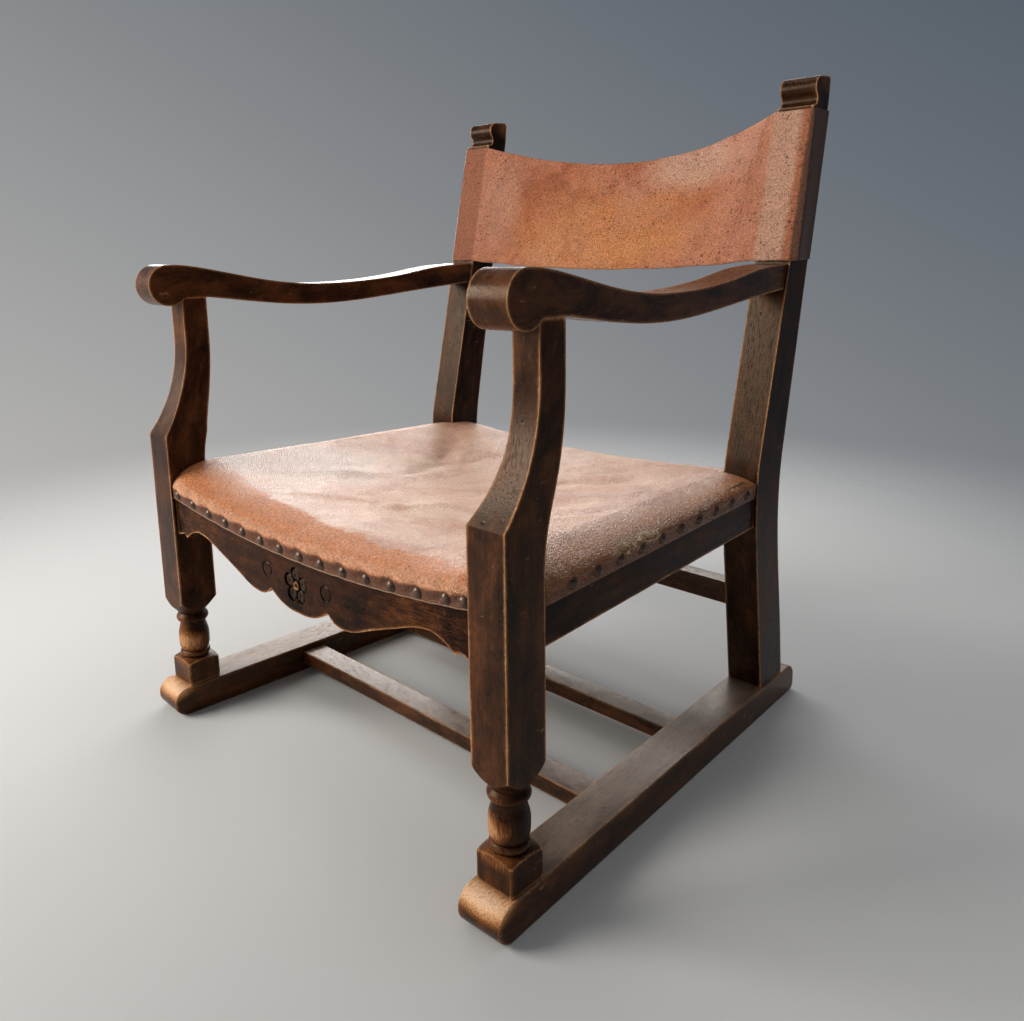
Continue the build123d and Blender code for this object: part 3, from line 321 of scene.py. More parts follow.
def oakMaterial(name, direction, wear=0.0, warmth=0.0, dustAndSheen=0.0, rough=(0.24, 0.40), place=(0, 0, 0),
                spots=(), lean=None, gloss=0.20, sunk=None):
    # Dark stained oak; wear lightens the arrises, warmth the faces, dust and painted sheen the tops; spots
    # add rubbing and painted highlight, crevices painted shade
    material, here = newMaterial(name)
    along = leanedPlace(here, *lean) if lean else here
    figure = along.stretched((1, 1, 1), grainTurn[direction], place).group(oakFigure)
    edges = here.group(arrisWearAndCreviceShade, Reach=oak["reach"], Amount=wear)
    marks = here.group(knocks)
    tone = figure["Fibre"] * 0.7 + figure["Cloud"] * 1.4 + warmth
    upward = here.then("NewGeometry", "Normal").axis("Z")
    # Upward faces turn greyer and lighter: dust, and painted sheen of the light they catch
    dustAndSheenShare = upward.ranged(0.5, 0.95) * dustAndSheen * tone.ranged(0.8, 1.25, 0.3, 1.0)
    worn, bare, paleWornAndLit = edges["Worn"], edges["Bare"], []
    # The spots lighten the oak partly by rubbing and partly as painted highlight: worn, bare, and pale at
    # the runner noses
    if spots:
        blotches = None
        folded = mirroredPlace(here)
        for centre, size, amount in spots:
            spot = folded.spotAt(centre, size) * amount
            blotches = blotches.most(spot) if blotches else spot
        level = blotches + (figure["Streaks"] * 1.3 + figure["Cloud"] * 0.35)
        worn = worn.most(level.ranged(1.08, 1.45) * blotches.ranged(0.0, 0.4))
        bare = bare.most(level.ranged(1.38, 1.80))
        paleWornAndLit = [(level.ranged(1.72, 2.15), oak["pale"])]
    color = layered(
        tone.ranged(0.84, 1.06).between(oak["dark"], oak["brown"]),
        (tone.ranged(1.06, 1.36), oak["warm"]),
        (dustAndSheenShare, oak["dustAndSheen"]),
        (worn * 0.75, oak["worn"]),
        (bare * 0.85, oak["bare"]),
        *paleWornAndLit,
        (figure["Pores"] * 0.65, oak["pore"]),
        (marks["Scratches"] * 0.4, oak["scratch"]),
        # Painted shade and dirt in crevices and joints, in the pores' dark colour
        (edges["Crevice"] * 0.85, oak["pore"]),
    )
    if sunk is not None:
        # Painted shade, with old polish and dirt, lies dark in the bottom of the carving
        color = layered(color, (here.axis("Y").ranged(sunk + 0.0003, sunk + 0.0019) * 0.9, oak["pore"]))
    dull = figure["Cloud"].ranged(0.3, 0.7, *rough) + figure["Pores"] * 0.2
    height = figure["Fibre"] * 0.8 - figure["Pores"] * 0.6 - marks["Dents"] * 1.6 - marks["Scratches"] * 0.5
    dull = dull.math("ADD", worn * 0.08, True)
    return finished(material, color, dull, height.bumped(0.0003, 0.45), gloss, oak["polish"])


# Spots of extra rubbing and painted highlight: centre, size, amount. The runner noses, ball feet, arms'
# scrolls and the front rail's ends are lighter partly for the light that falls on them
legX, legY = (legLow.x + legHigh.x) / 2, fromFront(0.0245)
rubbedAndLitSpots = {
    "leg": [
        ((legX - 0.006, legY - 0.010, 0.092), (0.030, 0.030, 0.023), 0.80),
        ((legX, frontY, 0.066), (0.034, 0.05, 0.016), 0.50),
        ((legX, frontY, 0.122), (0.03, 0.03, 0.008), 0.40),
        ((legLow.x, frontY, 0.366), (0.03, 0.02, 0.03), 0.3),
    ],
    "runner": [
        ((legX, frontY - 0.022, 0.047), (0.08, 0.046, 0.034), 1.45),
        ((legX, frontY + 0.16, runnerTop), (0.05, 0.26, 0.03), 0.15),
    ],
    "arm": [((legX + 0.004, frontY, 0.560), (0.05, 0.03, 0.045), 0.30)],
    "finial": [((postLow.x + 0.02, fromFront(0.60), 0.765), (0.05, 0.06, 0.03), 0.66)],
    "frontRail": [((0.20, frontY, 0.262), (0.11, 0.05, 0.06), 0.30)],
}
postLean = (0.336, 0.786, 0.225 * 0.45, "LINEAR")
legSweep = (0.372, 0.531, 0.0435, "SMOOTHSTEP")
oakUpright = oakMaterial("oakUpright", "upright", wear=-0.02, warmth=-0.12, spots=rubbedAndLitSpots["finial"],
                         lean=postLean)
oakFrontLeg = oakMaterial("oakFrontLeg", "upright", wear=0.04, warmth=0.02, place=(0.3, 0.2, 0),
                          spots=rubbedAndLitSpots["leg"], lean=legSweep)
oakArm = oakMaterial("oakArm", "lengthwise", warmth=0.06, dustAndSheen=0.08, rough=(0.20, 0.34),
                     spots=rubbedAndLitSpots["arm"], gloss=0.22)
oakRunner = oakMaterial("oakRunner", "lengthwise", wear=0.05, warmth=0.04, dustAndSheen=0.75, place=(0.1, 0, 0.4),
                        spots=rubbedAndLitSpots["runner"], gloss=0.34)
oakRail = oakMaterial("oakRail", "crosswise", wear=0.02, warmth=-0.10, spots=rubbedAndLitSpots["frontRail"],
                      gloss=0.06)
oakCarving = oakMaterial("oakCarving", "crosswise", wear=-0.02, warmth=-0.10, rough=(0.22, 0.32), gloss=0.16,
                         sunk=frontY + 0.005)
oakSideRail = oakMaterial("oakSideRail", "lengthwise", warmth=-0.14, gloss=0.10)
oakStretcher = oakMaterial("oakStretcher", "crosswise", dustAndSheen=0.8, rough=(0.22, 0.34), gloss=0.42)
print("stage: oak finished")


# Helpers for the pieces
def finishMesh(bm, name, materials, sharpAngle=38.0):
    # Writes a bmesh to a new object with smooth shading up to an angle
    mesh = bpy.data.meshes.new(name)
    for edge in bm.edges:
        edge.smooth = len(edge.link_faces) < 2 or edge.calc_face_angle(0.0) < radians(sharpAngle)
    for face in bm.faces:
        face.smooth = True
    bm.to_mesh(mesh)
    bm.free()
    for material in materials:
        mesh.materials.append(material)
    piece = bpy.data.objects.new(name, mesh)
    bpy.context.scene.collection.objects.link(piece)
    return piece


def declare(piece, replaced=()):
    # Every piece rides on the one body, and may stand in for nodes
    if replaced:
        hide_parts(*replaced)
    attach(piece, "root")
    return piece


def thicken(piece, thickness, offset=-1.0, rim=1, back=2):
    # Gives a sheet its wall, with materials for its cut edge and its back
    wall = piece.modifiers.new("thickness", "SOLIDIFY")
    wall.thickness = thickness
    wall.offset = offset
    wall.material_offset_rim = rim
    wall.material_offset = back


def softenedNode(node, name, material, width, carvings=()):
    # The node's shape with its arrises rubbed round; plain carvings are cleared for carved ones
    bm = bmesh.new()
    bm.from_mesh(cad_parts[node].data)
    bmesh.ops.remove_doubles(bm, verts=bm.verts, dist=0.00001)
    bmesh.ops.dissolve_limit(
        bm, angle_limit=radians(0.6), use_dissolve_boundaries=False, verts=bm.verts, edges=bm.edges
    )
    clearing = set()
    for x, z, low, high in carvings:
        for face in bm.faces:
            places = [vert.co for vert in face.verts] + [face.calc_center_median()]
            reaches = [sqrt((place.x - x) ** 2 + (place.z - z) ** 2) for place in places]
            shallow = all(vert.co.y < fromFront(0.012) for vert in face.verts)
            if shallow and min(reaches) >= low and max(reaches) <= high:
                clearing.add(face)
    bmesh.ops.delete(bm, geom=list(clearing), context="FACES")
    piece = finishMesh(bm, name, [material])
    rounding = piece.modifiers.new("rounding", "BEVEL")
    rounding.width = width
    rounding.segments = 3
    rounding.limit_method = "ANGLE"
    rounding.angle_limit = radians(32)
    rounding.harden_normals = True
    declare(piece, [node])


# Woodwork: node, material, width of the rounding, ends of the names
sides = ("_left", "_right")
woodwork = {
    "runner": ("runner", oakRunner, 0.0022, sides),
    "frontLeg": ("front_leg", oakFrontLeg, 0.0012, sides),
    "backPost": ("back_post", oakUpright, 0.0013, sides),
    "arm": ("arm", oakArm, 0.0022, sides),
    "sideRail": ("side_seat_rail", oakSideRail, 0.001, sides),
    "rearRail": ("rear_seat_rail", oakRail, 0.001, [""]),
    "frontStretcher": ("front_stretcher", oakStretcher, 0.0015, [""]),
    "rearStretcher": ("rear_stretcher", oakStretcher, 0.0015, [""]),
    "backStretcher": ("back_stretcher", oakStretcher, 0.0015, [""]),
}
for label, (node, material, width, ends) in woodwork.items():
    for end in ends:
        softenedNode(node + end, label + end, material, width)

# Carving on the front rail: a five petalled rose between two gouged rings
carving = {
    "face": 0.005,
    "rose": (-0.0040, 0.2410),
    "roseReach": 0.0222,
    "petalRing": 0.0126,
    "petalReach": 0.0088,
    "sink": 0.0036,
    "rings": ((-0.0575, 0.2470), (0.0495, 0.2470)),
    "ringInner": 0.0068,
    "ringOuter": 0.0097,
    "ringDepth": 0.0019,
    "rounding": 0.0012,
}


def roseHeight(reach, angle):
    # Depth of the carved rose behind the rail's face
    ring, petal, sink = carving["petalRing"], carving["petalReach"], carving["sink"]
    fifth = 2 * pi / 5
    turn = (angle - pi / 2 + fifth / 2) % fifth - fifth / 2
    across, along = reach * sin(turn), reach * cos(turn) - ring
    share = sqrt(across ** 2 + along ** 2) / petal
    if share > 1.02 and reach > ring * 0.8:
        return 0.0002
    # Each petal is a low dome with a thumbed hollow towards the eye
    depth = 0.0006 + 0.0020 * share ** 2.2
    depth += 0.0013 * exp(-((across / 0.0026) ** 2 + ((along + 0.0012) / 0.0034) ** 2))
    depth = mix(depth, sink, smoothStep(share, 0.66, 0.88))
    depth = mix(depth, 0.0002, smoothStep(share, 0.94, 1.02))
    split = (fifth / 2 - abs(turn)) * reach
    depth = max(depth, sink * (1 - smoothStep(split, 0.0003, 0.0020)))
    if reach < 0.0074:
        crown = mix(0.0026, 0.0001, smoothStep(reach, 0.0012, 0.0034))
        depth = mix(crown, sink, smoothStep(reach, 0.0044, 0.0060))
    return depth


def ringHeight(reach, angle):
    # Gouged ring, cut deepest at its lower left
    middle = (carving["ringInner"] + carving["ringOuter"]) / 2
    half = (carving["ringOuter"] - carving["ringInner"]) / 2
    hollow = max(1 - ((reach - middle) / half) ** 2, 0.0)
    bite = 0.35 + 0.65 * (0.5 - 0.5 * cos(angle - radians(45)))
    return 0.0001 + carving["ringDepth"] * hollow * bite


def carvedDisc(name, centre, inner, outer, depthOf, rings, steps):
    bm = bmesh.new()
    line = [bm.verts.new((inner + (outer - inner) * step / rings, 0, 0)) for step in range(rings + 1)]
    edges = [bm.edges.new(pair) for pair in zip(line, line[1:])]
    bmesh.ops.spin(bm, geom=line + edges, cent=(0, 0, 0), axis=(0, 1, 0), angle=2 * pi, steps=steps,
                   use_merge=True)
    bmesh.ops.remove_doubles(bm, verts=bm.verts, dist=0.000005)
    for vert in bm.verts:
        reach = sqrt(vert.co.x ** 2 + vert.co.z ** 2)
        vert.co.y = fromFront(carving["face"]) + depthOf(reach, atan2(vert.co.z, vert.co.x))
        vert.co.x += centre[0]
        vert.co.z += centre[1]
    bmesh.ops.recalc_face_normals(bm, faces=bm.faces)
    if sum(face.normal.y for face in bm.faces) > 0:
        bmesh.ops.reverse_faces(bm, faces=bm.faces)
    declare(finishMesh(bm, name, [oakCarving], 60.0))


ringInner, ringOuter = carving["ringInner"], carving["ringOuter"]
cleared = [(*carving["rose"], 0.0, carving["roseReach"])]
cleared += [(*centre, ringInner - 0.0002, ringOuter) for centre in carving["rings"]]
softenedNode("front_seat_rail", "frontRail", oakRail, carving["rounding"], cleared)
carvedDisc("carvedRose", carving["rose"], 0.0, carving["roseReach"], roseHeight, 60, 180)
for index, centre in enumerate(carving["rings"]):
    carvedDisc(f"gougedRing_{index + 1}", centre, ringInner - 0.0001, ringOuter + 0.0001, ringHeight, 12, 72)
print("stage: woodwork softened")


# Raw blocks inside the seat frame
def blockMaterial():
    material, here = newMaterial("blockWood")
    figure = here.stretched((1, 1, 1), grainTurn["crosswise"]).group(oakFigure)
    fresh = figure["Fibre"].between((0.10, 0.052, 0.024), (0.26, 0.15, 0.075))
    color = figure["Cloud"].ranged(0.35, 0.7).between((0.07, 0.04, 0.022), fresh)
    return finished(material, color, 0.75, figure["Fibre"].bumped(0.0004, 0.6))


blockWood = blockMaterial()
for place in ("front_left", "front_right", "rear_left", "rear_right"):
    softenedNode(f"corner_block_{place}", f"cornerBlock_{place}", blockWood, 0.001)


# Leather
def skinOfHide(given, fineness):
    # Old hide: pebbled grain, dark pits, crazing, mottled staining
    place = given.vector("SCALE", fineness)
    fine, mottle = place.noise(950.0, 2.0, 0.6), place.noise(270.0, 4.0, 0.78)
    wobble = place.then("TexNoise", "Color", {"Vector": place, "Scale": 90.0})
    warped = place.vector("ADD", wobble.vector("SCALE", 0.008))
    pebble = warped.cells(310.0, "DISTANCE_TO_EDGE").ranged(0.0, 0.26)
    craze = warped.cells(150.0, "DISTANCE_TO_EDGE").ranged(0.075, 0.0)
    pit = place.cells(150.0).ranged(0.34, 0.14) * place.noise(85.0, 4.0, 0.8).ranged(0.56, 0.64)
    dots = place.noise(380.0, 3.0, 0.65).ranged(0.52, 0.62)
    where = place.noise(28.0, 4.0, 0.7).ranged(0.38, 0.62, 0.15, 1.0)
    return {
        "Speckle": dots * where,
        "Pits": pit,
        "Craze": craze,
        "Cloud": given.noise(11.0, 5.0, 0.62, 0.5),
        "Mottle": mottle,
        "Height": fine * 0.35 + mottle * 1.1 + pebble * 0.70 - craze * 0.15 - pit * 0.8,
    }


hide = makeGroup("hide", skinOfHide, Place="Vector", Fineness="Float")

seatHide = {
    "base": (0.53, 0.235, 0.125),
    "pink": (0.68, 0.375, 0.245),
    "polish": (1.0, 0.86, 0.72),
    "bleached": (0.76, 0.55, 0.39),
    "stain": (0.36, 0.140, 0.078),
    "orange": (0.58, 0.190, 0.056),
    "crest": (0.64, 0.33, 0.20),
    "tan": (0.54, 0.215, 0.078),
    "brown": (0.205, 0.062, 0.019),
    "dirtAndShade": (0.085, 0.022, 0.009),
    "speck": (0.15, 0.042, 0.016),
    "hem": (0.56, 0.34, 0.20),
    "crackLight": (0.85, 0.60, 0.32),
}


def seatHideMaterial(paint):
    material, here = newMaterial("seatHide")
    skin = here.group(hide, Fineness=1.15)
    across, back = here.axis("X"), here.axis("Y")
    endRoll, sideRoll = (
        here.then("Attribute", "Fac", attribute_name=name) for name in ("endRoll", "sideRoll")
    )
    wander, fineWander = here.noise(17.0, 5.0, 0.65), here.noise(110.0, 3.0, 0.7)
    stained = here.noise(8.5, 5.0, 0.66, 0.8).ranged(0.50, 0.62)
    bleached = here.stretched((1, 1, 1), (0, 0, 0.6), (3.1, 1.7, 0)).noise(9.0, 4.0, 0.6).ranged(0.54, 0.66)
    # The front roll is rubbed orange, more of it at the sitter's right
    front = (back + across * 0.085).jittered(wander, 0.034).jittered(fineWander, 0.020)
    front = front.ranged(fromFront(0.047), fromFront(0.040))
    roll = endRoll.jittered(fineWander, 0.35)
    # A painted highlight runs along the crest of the end rolls
    crest = roll.ranged(0.66, 0.80) * roll.ranged(1.12, 1.0)
    # The sides turn tan, then brown below their ridge: partly the hide's colour, partly painted shade where
    # they turn away from the light
    slope = sideRoll.jittered(wander, 0.30).jittered(fineWander, 0.12)
    color = layered(
        skin["Cloud"].ranged(0.40, 0.56).between(paint["base"], paint["pink"]),
        (stained * 0.50, paint["stain"]),
        (bleached * 0.45, paint["bleached"]),
        (front * 0.95, paint["orange"]),
        (crest * 0.6, paint["crest"]),
        # Dirt and painted shade darken the end skirts below the rolls
        (roll.ranged(1.02, 1.22) * 0.90, paint["dirtAndShade"]),
        (slope.ranged(0.16, 0.50) * 0.90, paint["tan"]),
        (slope.ranged(0.50, 1.05) * 0.90, paint["brown"]),
        # Dirt and painted shade darken the side skirts near the nails
        (slope.ranged(1.15, 1.5) * 0.45, paint["dirtAndShade"]),
        (skin["Speckle"] * front.ranged(0.0, 1.0, 0.30, 0.60), paint["speck"]),
        (skin["Pits"] * 0.65, paint["speck"]),
    )
    depth = front.most(slope.ranged(0.2, 0.8)).ranged(0.0, 1.0, 0.24, 0.46)
    tint = skin["Mottle"].ranged(0.32, 0.68, -1.0, 1.0) * depth + 1.0
    # Broken finish above the nails of the sitter's left side
    cracked = here.spotAt((0.292, fromFront(0.195), 0.3075), (0.012, 0.055, 0.0085))
    flakes = skin["Craze"].most(fineWander.ranged(0.52, 0.57)) * cracked.ranged(0.05, 0.6)
    hem = endRoll.ranged(1.915, 1.935) * back.ranged(0.02, 0.0)
    color = layered(color.vector("SCALE", tint), (flakes, paint["crackLight"]), (hem * 0.8, paint["hem"]))
    # Polished where the sitter slides on, and along the flanks
    shine = here.spotAt((-0.19, fromFront(0.13), 0.303), (0.15, 0.17, 0.2))
    shine = shine.jittered(wander, 0.9).ranged(0.1, 0.9)
    slide = back.jittered(wander, 0.05)
    slide = slide.ranged(fromFront(0.043), fromFront(0.055)) * slide.ranged(fromFront(0.12), fromFront(0.07))
    flank = across.jittered(wander, 0.05).ranged(0.15, 0.22)
    rough = shine.most(flank).most(slide * 0.8).ranged(0.0, 1.0, 0.46, 0.24) + front * 0.12
    rough = rough.math("ADD", skin["Speckle"] * 0.12, True)
    return finished(material, color, rough, skin["Height"].bumped(0.0010, 0.8), 0.6, paint["polish"])


backHide = {
    "base": (0.54, 0.170, 0.066),
    "amber": (0.70, 0.270, 0.078),
    "deep": (0.34, 0.080, 0.028),
    "pink": (0.56, 0.225, 0.130),
    "pale": (0.68, 0.43, 0.31),
    "panel": (0.31, 0.098, 0.046),
    "rust": (0.40, 0.105, 0.032),
    "brown": (0.055, 0.020, 0.009),
    "speck": (0.040, 0.011, 0.005),
    "polish": (1.0, 0.84, 0.70),
    # Worn places, partly painted sheen: centre (x, z), size, amount
    "worn": (((0.115, 0.680), (0.12, 0.040), 0.60), ((-0.200, 0.640), (0.04, 0.09), 0.30)),
}


def backHideMaterial(paint):
    material, here = newMaterial("backHide")
    skin = here.group(hide, Fineness=1.9)
    across = here.axis("X")
    wander, fineWander = here.noise(15.0, 5.0, 0.65), here.noise(120.0, 3.0, 0.7)
    deep = here.noise(16.0, 5.0, 0.7, 0.6).ranged(0.50, 0.62)
    heart = here.spotAt((0.01, fromFront(0.56), 0.600), (0.26, 0.3, 0.10))
    worn = []
    # Pale worn patches, partly painted sheen
    for (x, z), (wide, high), amount in paint["worn"]:
        spot = here.spotAt((x, fromFront(0.56), z), (wide, 0.3, high))
        worn.append((spot.jittered(wander, 1.2).ranged(0.1, 1.1, 0.0, amount), paint["pale"]))
    # Paler towards the posts, with a dull band over the sitter's left post
    edges = across.jittered(wander, 0.05).math("ABSOLUTE").ranged(0.150, 0.225)
    crisp = across.jittered(fineWander, 0.006)
    wrapped = across.math("ABSOLUTE").jittered(fineWander, 0.004)
    color = layered(
        skin["Cloud"].ranged(0.38, 0.58).between(paint["base"], paint["pink"]),
        (deep * 0.60, paint["deep"]),
        (heart.jittered(wander, 2.2).ranged(0.35, 1.35, 0.0, 0.75), paint["amber"]),
        *worn,
        (edges * 0.65, paint["pink"]),
        (crisp.ranged(postLow.x - 0.004, postLow.x + 0.003) * 0.55, paint["pale"]),
        (crisp.ranged(postHigh.x - 0.013, postHigh.x - 0.006) * 0.85, paint["rust"]),
        (crisp.ranged(-postLow.x + 0.002, -postLow.x - 0.003) * 0.85, paint["panel"]),
        (wrapped.ranged(postHigh.x - 0.002, postHigh.x + 0.0015) * 0.88, paint["brown"]),
        (skin["Speckle"] * 0.72, paint["speck"]),
        (skin["Pits"] * 0.85, paint["speck"]),
    )
    # Small black flecks, thicker in patches
    fleck = (here.cells(190.0) + fineWander.ranged(0.40, 0.60, 0.18, -0.20)).ranged(0.22, 0.13)
    fleck = fleck * here.noise(24.0, 5.0, 0.75).ranged(0.44, 0.60, 0.12, 1.0)
    shaded = color.vector("SCALE", skin["Mottle"].ranged(0.32, 0.68, 0.52, 1.48))
    color = layered(shaded, (fleck * 0.75, paint["speck"]))
    rough = skin["Cloud"].ranged(0.3, 0.7, 0.26, 0.42).math("ADD", skin["Speckle"] * 0.15, True)
    return finished(material, color, rough, skin["Height"].bumped(0.0010, 0.8), 0.55, paint["polish"])


def plainHideMaterial(name, dark, light, scale, rough):
    # Cut edges and the flesh side
    material, here = newMaterial(name)
    nap = here.noise(scale, 5.0, 0.7)
    tone = nap * 0.6 + here.noise(22.0, 4.0, 0.6) * 0.4
    color, rough = tone.ranged(0.38, 0.62).between(dark, light), nap.ranged(0.3, 0.7, rough - 0.08, rough)
    return finished(material, color, rough, nap.bumped(0.0007, 0.7), 0.25)


seatLeather = seatHideMaterial(seatHide)
backLeather = backHideMaterial(backHide)
cutEdge = plainHideMaterial("cutEdge", (0.20, 0.105, 0.06), (0.52, 0.33, 0.20), 700.0, 0.85)
fleshSide = plainHideMaterial("fleshSide", (0.11, 0.052, 0.030), (0.25, 0.135, 0.080), 420.0, 0.95)
print("stage: leather finished")


# Nail places, read from the nails' own meshes
def nailCentres(*nodes):
    places = []
    for node in nodes:
        bm = bmesh.new()
        bm.from_mesh(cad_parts[node].data)
        bmesh.ops.remove_doubles(bm, verts=bm.verts, dist=0.00001)
        waiting = set(bm.verts)
        while waiting:
            # A nail's vertices, gathered along their edges
            nail = [waiting.pop()]
            for vert in nail:
                near = {edge.other_vert(vert) for edge in vert.link_edges} & waiting
                waiting -= near
                nail += near
            axes = [[vert.co[axis] for vert in nail] for axis in range(3)]
            places.append((Vector([min(axis) for axis in axes]) + Vector([max(axis) for axis in axes])) / 2)
        bm.free()
    return places


seatNails = nailCentres("seat_nails_front", "seat_nails_rear", "seat_nails_left", "seat_nails_right")
frontNails = [nail.x for nail in seatNails if nail.y < fromFront(0.02)]
rearNails = [nail.x for nail in seatNails if nail.y > fromFront(0.48)]
sideNails = [nail.y - frontY for nail in seatNails if fromFront(0.02) < nail.y < fromFront(0.48)]
print("stage: nails found")

# Seat cover: one hide with rolled edges, notched round the legs and posts; pairs run from front to rear
cover = {
    "thickness": 0.0023,
    "columns": 160,
    "rows": 104,
    "rollCells": 14,
    "skirtCells": 7,
    "notches": (0.0494, 0.4590),
    "faces": (0.0024, 0.5076),
    "inner": (0.2576, 0.2346),
    "outer": (0.3004, 0.2775),
    "edges": (0.3285, 0.3150),
    "middle": 0.3055,
    "hollow": 0.0065,
    "sideHem": 0.2905,
    "sideShoulder": (0.0165, 0.007),  # over the hem, under the top
    "rearHem": 0.2702,
    "rearShoulder": (0.014, 0.010),  # under the top: middle, end
    "frontHem": (0.2704, 0.2896),  # middle, end
    "frontShoulder": (0.2890, 0.3045),
    "waves": 0.0030,
    "crumple": 0.0009,
    "sideFullness": 0.62,
    "endFullness": 0.80,
    "frontBulge": 0.0052,
    "sideBulge": 0.0034,
    "nailPull": 0.0095,
    "rollEnds": (1.78, 1.30),  # between nails, at a nail
    "calmRun": 0.02,
    # Creases: start, end (x, depth), half width, height
    "folds": (
        ((-0.110, 0.085), (0.020, 0.135), 0.010, 0.0020),
        ((0.010, 0.128), (0.110, 0.200), 0.011, 0.0022),
        ((-0.010, 0.052), (0.125, 0.120), 0.010, -0.0022),
        ((-0.190, 0.120), (-0.080, 0.230), 0.016, 0.0026),
        ((-0.090, 0.235), (-0.075, 0.345), 0.014, -0.0024),
        ((-0.235, 0.445), (-0.120, 0.335), 0.015, -0.0042),
        ((-0.205, 0.470), (-0.085, 0.400), 0.012, 0.0026),
        ((-0.240, 0.330), (-0.150, 0.300), 0.014, 0.0022),
        ((0.215, 0.430), (0.090, 0.330), 0.014, -0.0030),
        ((0.225, 0.330), (0.110, 0.265), 0.014, 0.0022),
        ((0.230, 0.220), (0.120, 0.185), 0.013, -0.0018),
        ((0.060, 0.400), (0.130, 0.470), 0.014, 0.0024),
    ),
}
frontNotch, rearNotch = cover["notches"]


def foldRise(x, depth):
    # Rise of the creases at a place on the top
    rise = 0.0
    here = Vector((x, depth))
    for start, end, width, height in cover["folds"]:
        start, end = Vector(start), Vector(end)
        run = end - start
        share = (here - start).dot(run) / run.length_squared
        bend = 0.012 * sin(pi * clipped(share)) + 0.006 * waver(x * 20, depth * 20, 3.0)
        side = Vector((-run.y, run.x)).normalized()
        across = (here - start).dot(side) - bend
        beyond = max(-share, share - 1, 0.0) * run.length
        rise += height * exp(-(across / width) ** 2 - (beyond / 0.03) ** 2)
    return rise


def notchShare(depth):
    return (depth - frontNotch) / (rearNotch - frontNotch)


def seatEdge(depth):
    # Height of the seat along its side edges
    return mix(*cover["edges"], clipped(notchShare(depth)))


def innerReach(depth):
    # Half width of the hide between the legs, and of its top between the notches
    return mix(*cover["inner"], clipped(notchShare(depth)))


def outerReach(depth):
    return mix(*cover["outer"], notchShare(depth))


def seatTop(x, depth):
    # Height of the dished top
    frontFace, rearFace = cover["faces"]
    share = min(abs(x) / innerReach(depth), 1.0)
    lengthways = (depth - frontFace) / (rearFace - frontFace)
    middle = cover["middle"] - cover["hollow"] * sin(pi * clipped(lengthways))
    height = mix(middle, seatEdge(depth), share ** 2.4)
    calm = (1 - share ** 4) * sin(pi * clipped(lengthways, 0.03, 0.97))
    height += cover["waves"] * waver(x * 8.0, depth * 8.0, 0.4) * (0.25 + calm)
    height += cover["crumple"] * waver(x * 34.0, depth * 26.0, 1.7) * (0.4 + calm)
    return height + foldRise(x, depth) * (0.15 + calm)


def rolled(share, run, drop, fullness):
    # Rounded fall from the top outwards: how far out and how far down
    angle = share * pi / 2
    return run * mix(share, sin(angle), fullness), drop * mix(share, 1 - cos(angle), fullness)


def swelling(share, place, nails, reach):
    # The roll hangs over the nails' line and is drawn up at each nail
    nearest = min(abs(place - nail) for nail in nails)
    drawn = exp(-(nearest / cover["nailPull"]) ** 2)
    end = mix(*cover["rollEnds"], drawn)
    swell = reach * sin(pi * clipped((share - 0.30) / (end - 0.30))) * (1 - 0.45 * drawn)
    pucker = waver(place * 190.0, share * 3.0, reach * 900.0)
    return swell + 0.0006 * pucker * smoothStep(share, 0.55, 1.0) * (1 - smoothStep(share, 1.5, 1.9))


def coverPoint(x, depth, sideShare, endShare):
    # Place on the cover; the shares run from 0 at the notch lines to 2 at the hems
    calmRun = cover["calmRun"]
    if sideShare > 0:
        start, hem = innerReach(depth), cover["sideHem"]
        top = seatTop(start, depth)
        overHem, underTop = cover["sideShoulder"]
        shoulder = min(hem + overHem, top - underTop)
        run = outerReach(depth) - start
        out, down = rolled(min(sideShare, 1.0), run, top - shoulder, cover["sideFullness"])
        calm = min((depth - frontNotch) / calmRun, (rearNotch - depth) / calmRun, 1.0)
        swell = swelling(sideShare, depth, sideNails, cover["sideBulge"]) * max(calm, 0.0)
        sign = 1 if x > 0 else -1
        height = top - down - max(sideShare - 1.0, 0.0) * (shoulder - hem)
        return Vector((sign * (start + out + swell), fromFront(depth), height))
    if endShare > 0:
        end = 0 if depth <= frontNotch else 1
        start, face, limit = (cover[name][end] for name in ("notches", "faces", "inner"))
        share = min(abs(x) / limit, 1.0) ** 2
        if end == 0:
            nails, way = frontNails, -1
            shoulder = mix(*cover["frontShoulder"], share)
            hem = mix(*cover["frontHem"], share) + 0.0007 * waver(x * 60.0, 5.0, 0.0)
        else:
            nails, way = rearNails, 1
            underMiddle, underEnd = cover["rearShoulder"]
            shoulder = mix(cover["middle"] - underMiddle, cover["edges"][1] - underEnd, share)
            hem = cover["rearHem"]
        top = seatTop(x, start)
        out, down = rolled(min(endShare, 1.0), face - start, top - shoulder, cover["endFullness"])
        swell = swelling(endShare, x, nails, cover["frontBulge"]) * min((limit - abs(x)) / calmRun, 1.0)
        height = top - down - max(endShare - 1.0, 0.0) * (shoulder - hem)
        return Vector((x, fromFront(start + out) + way * swell, height))
    return Vector((x, fromFront(depth), seatTop(x, depth)))


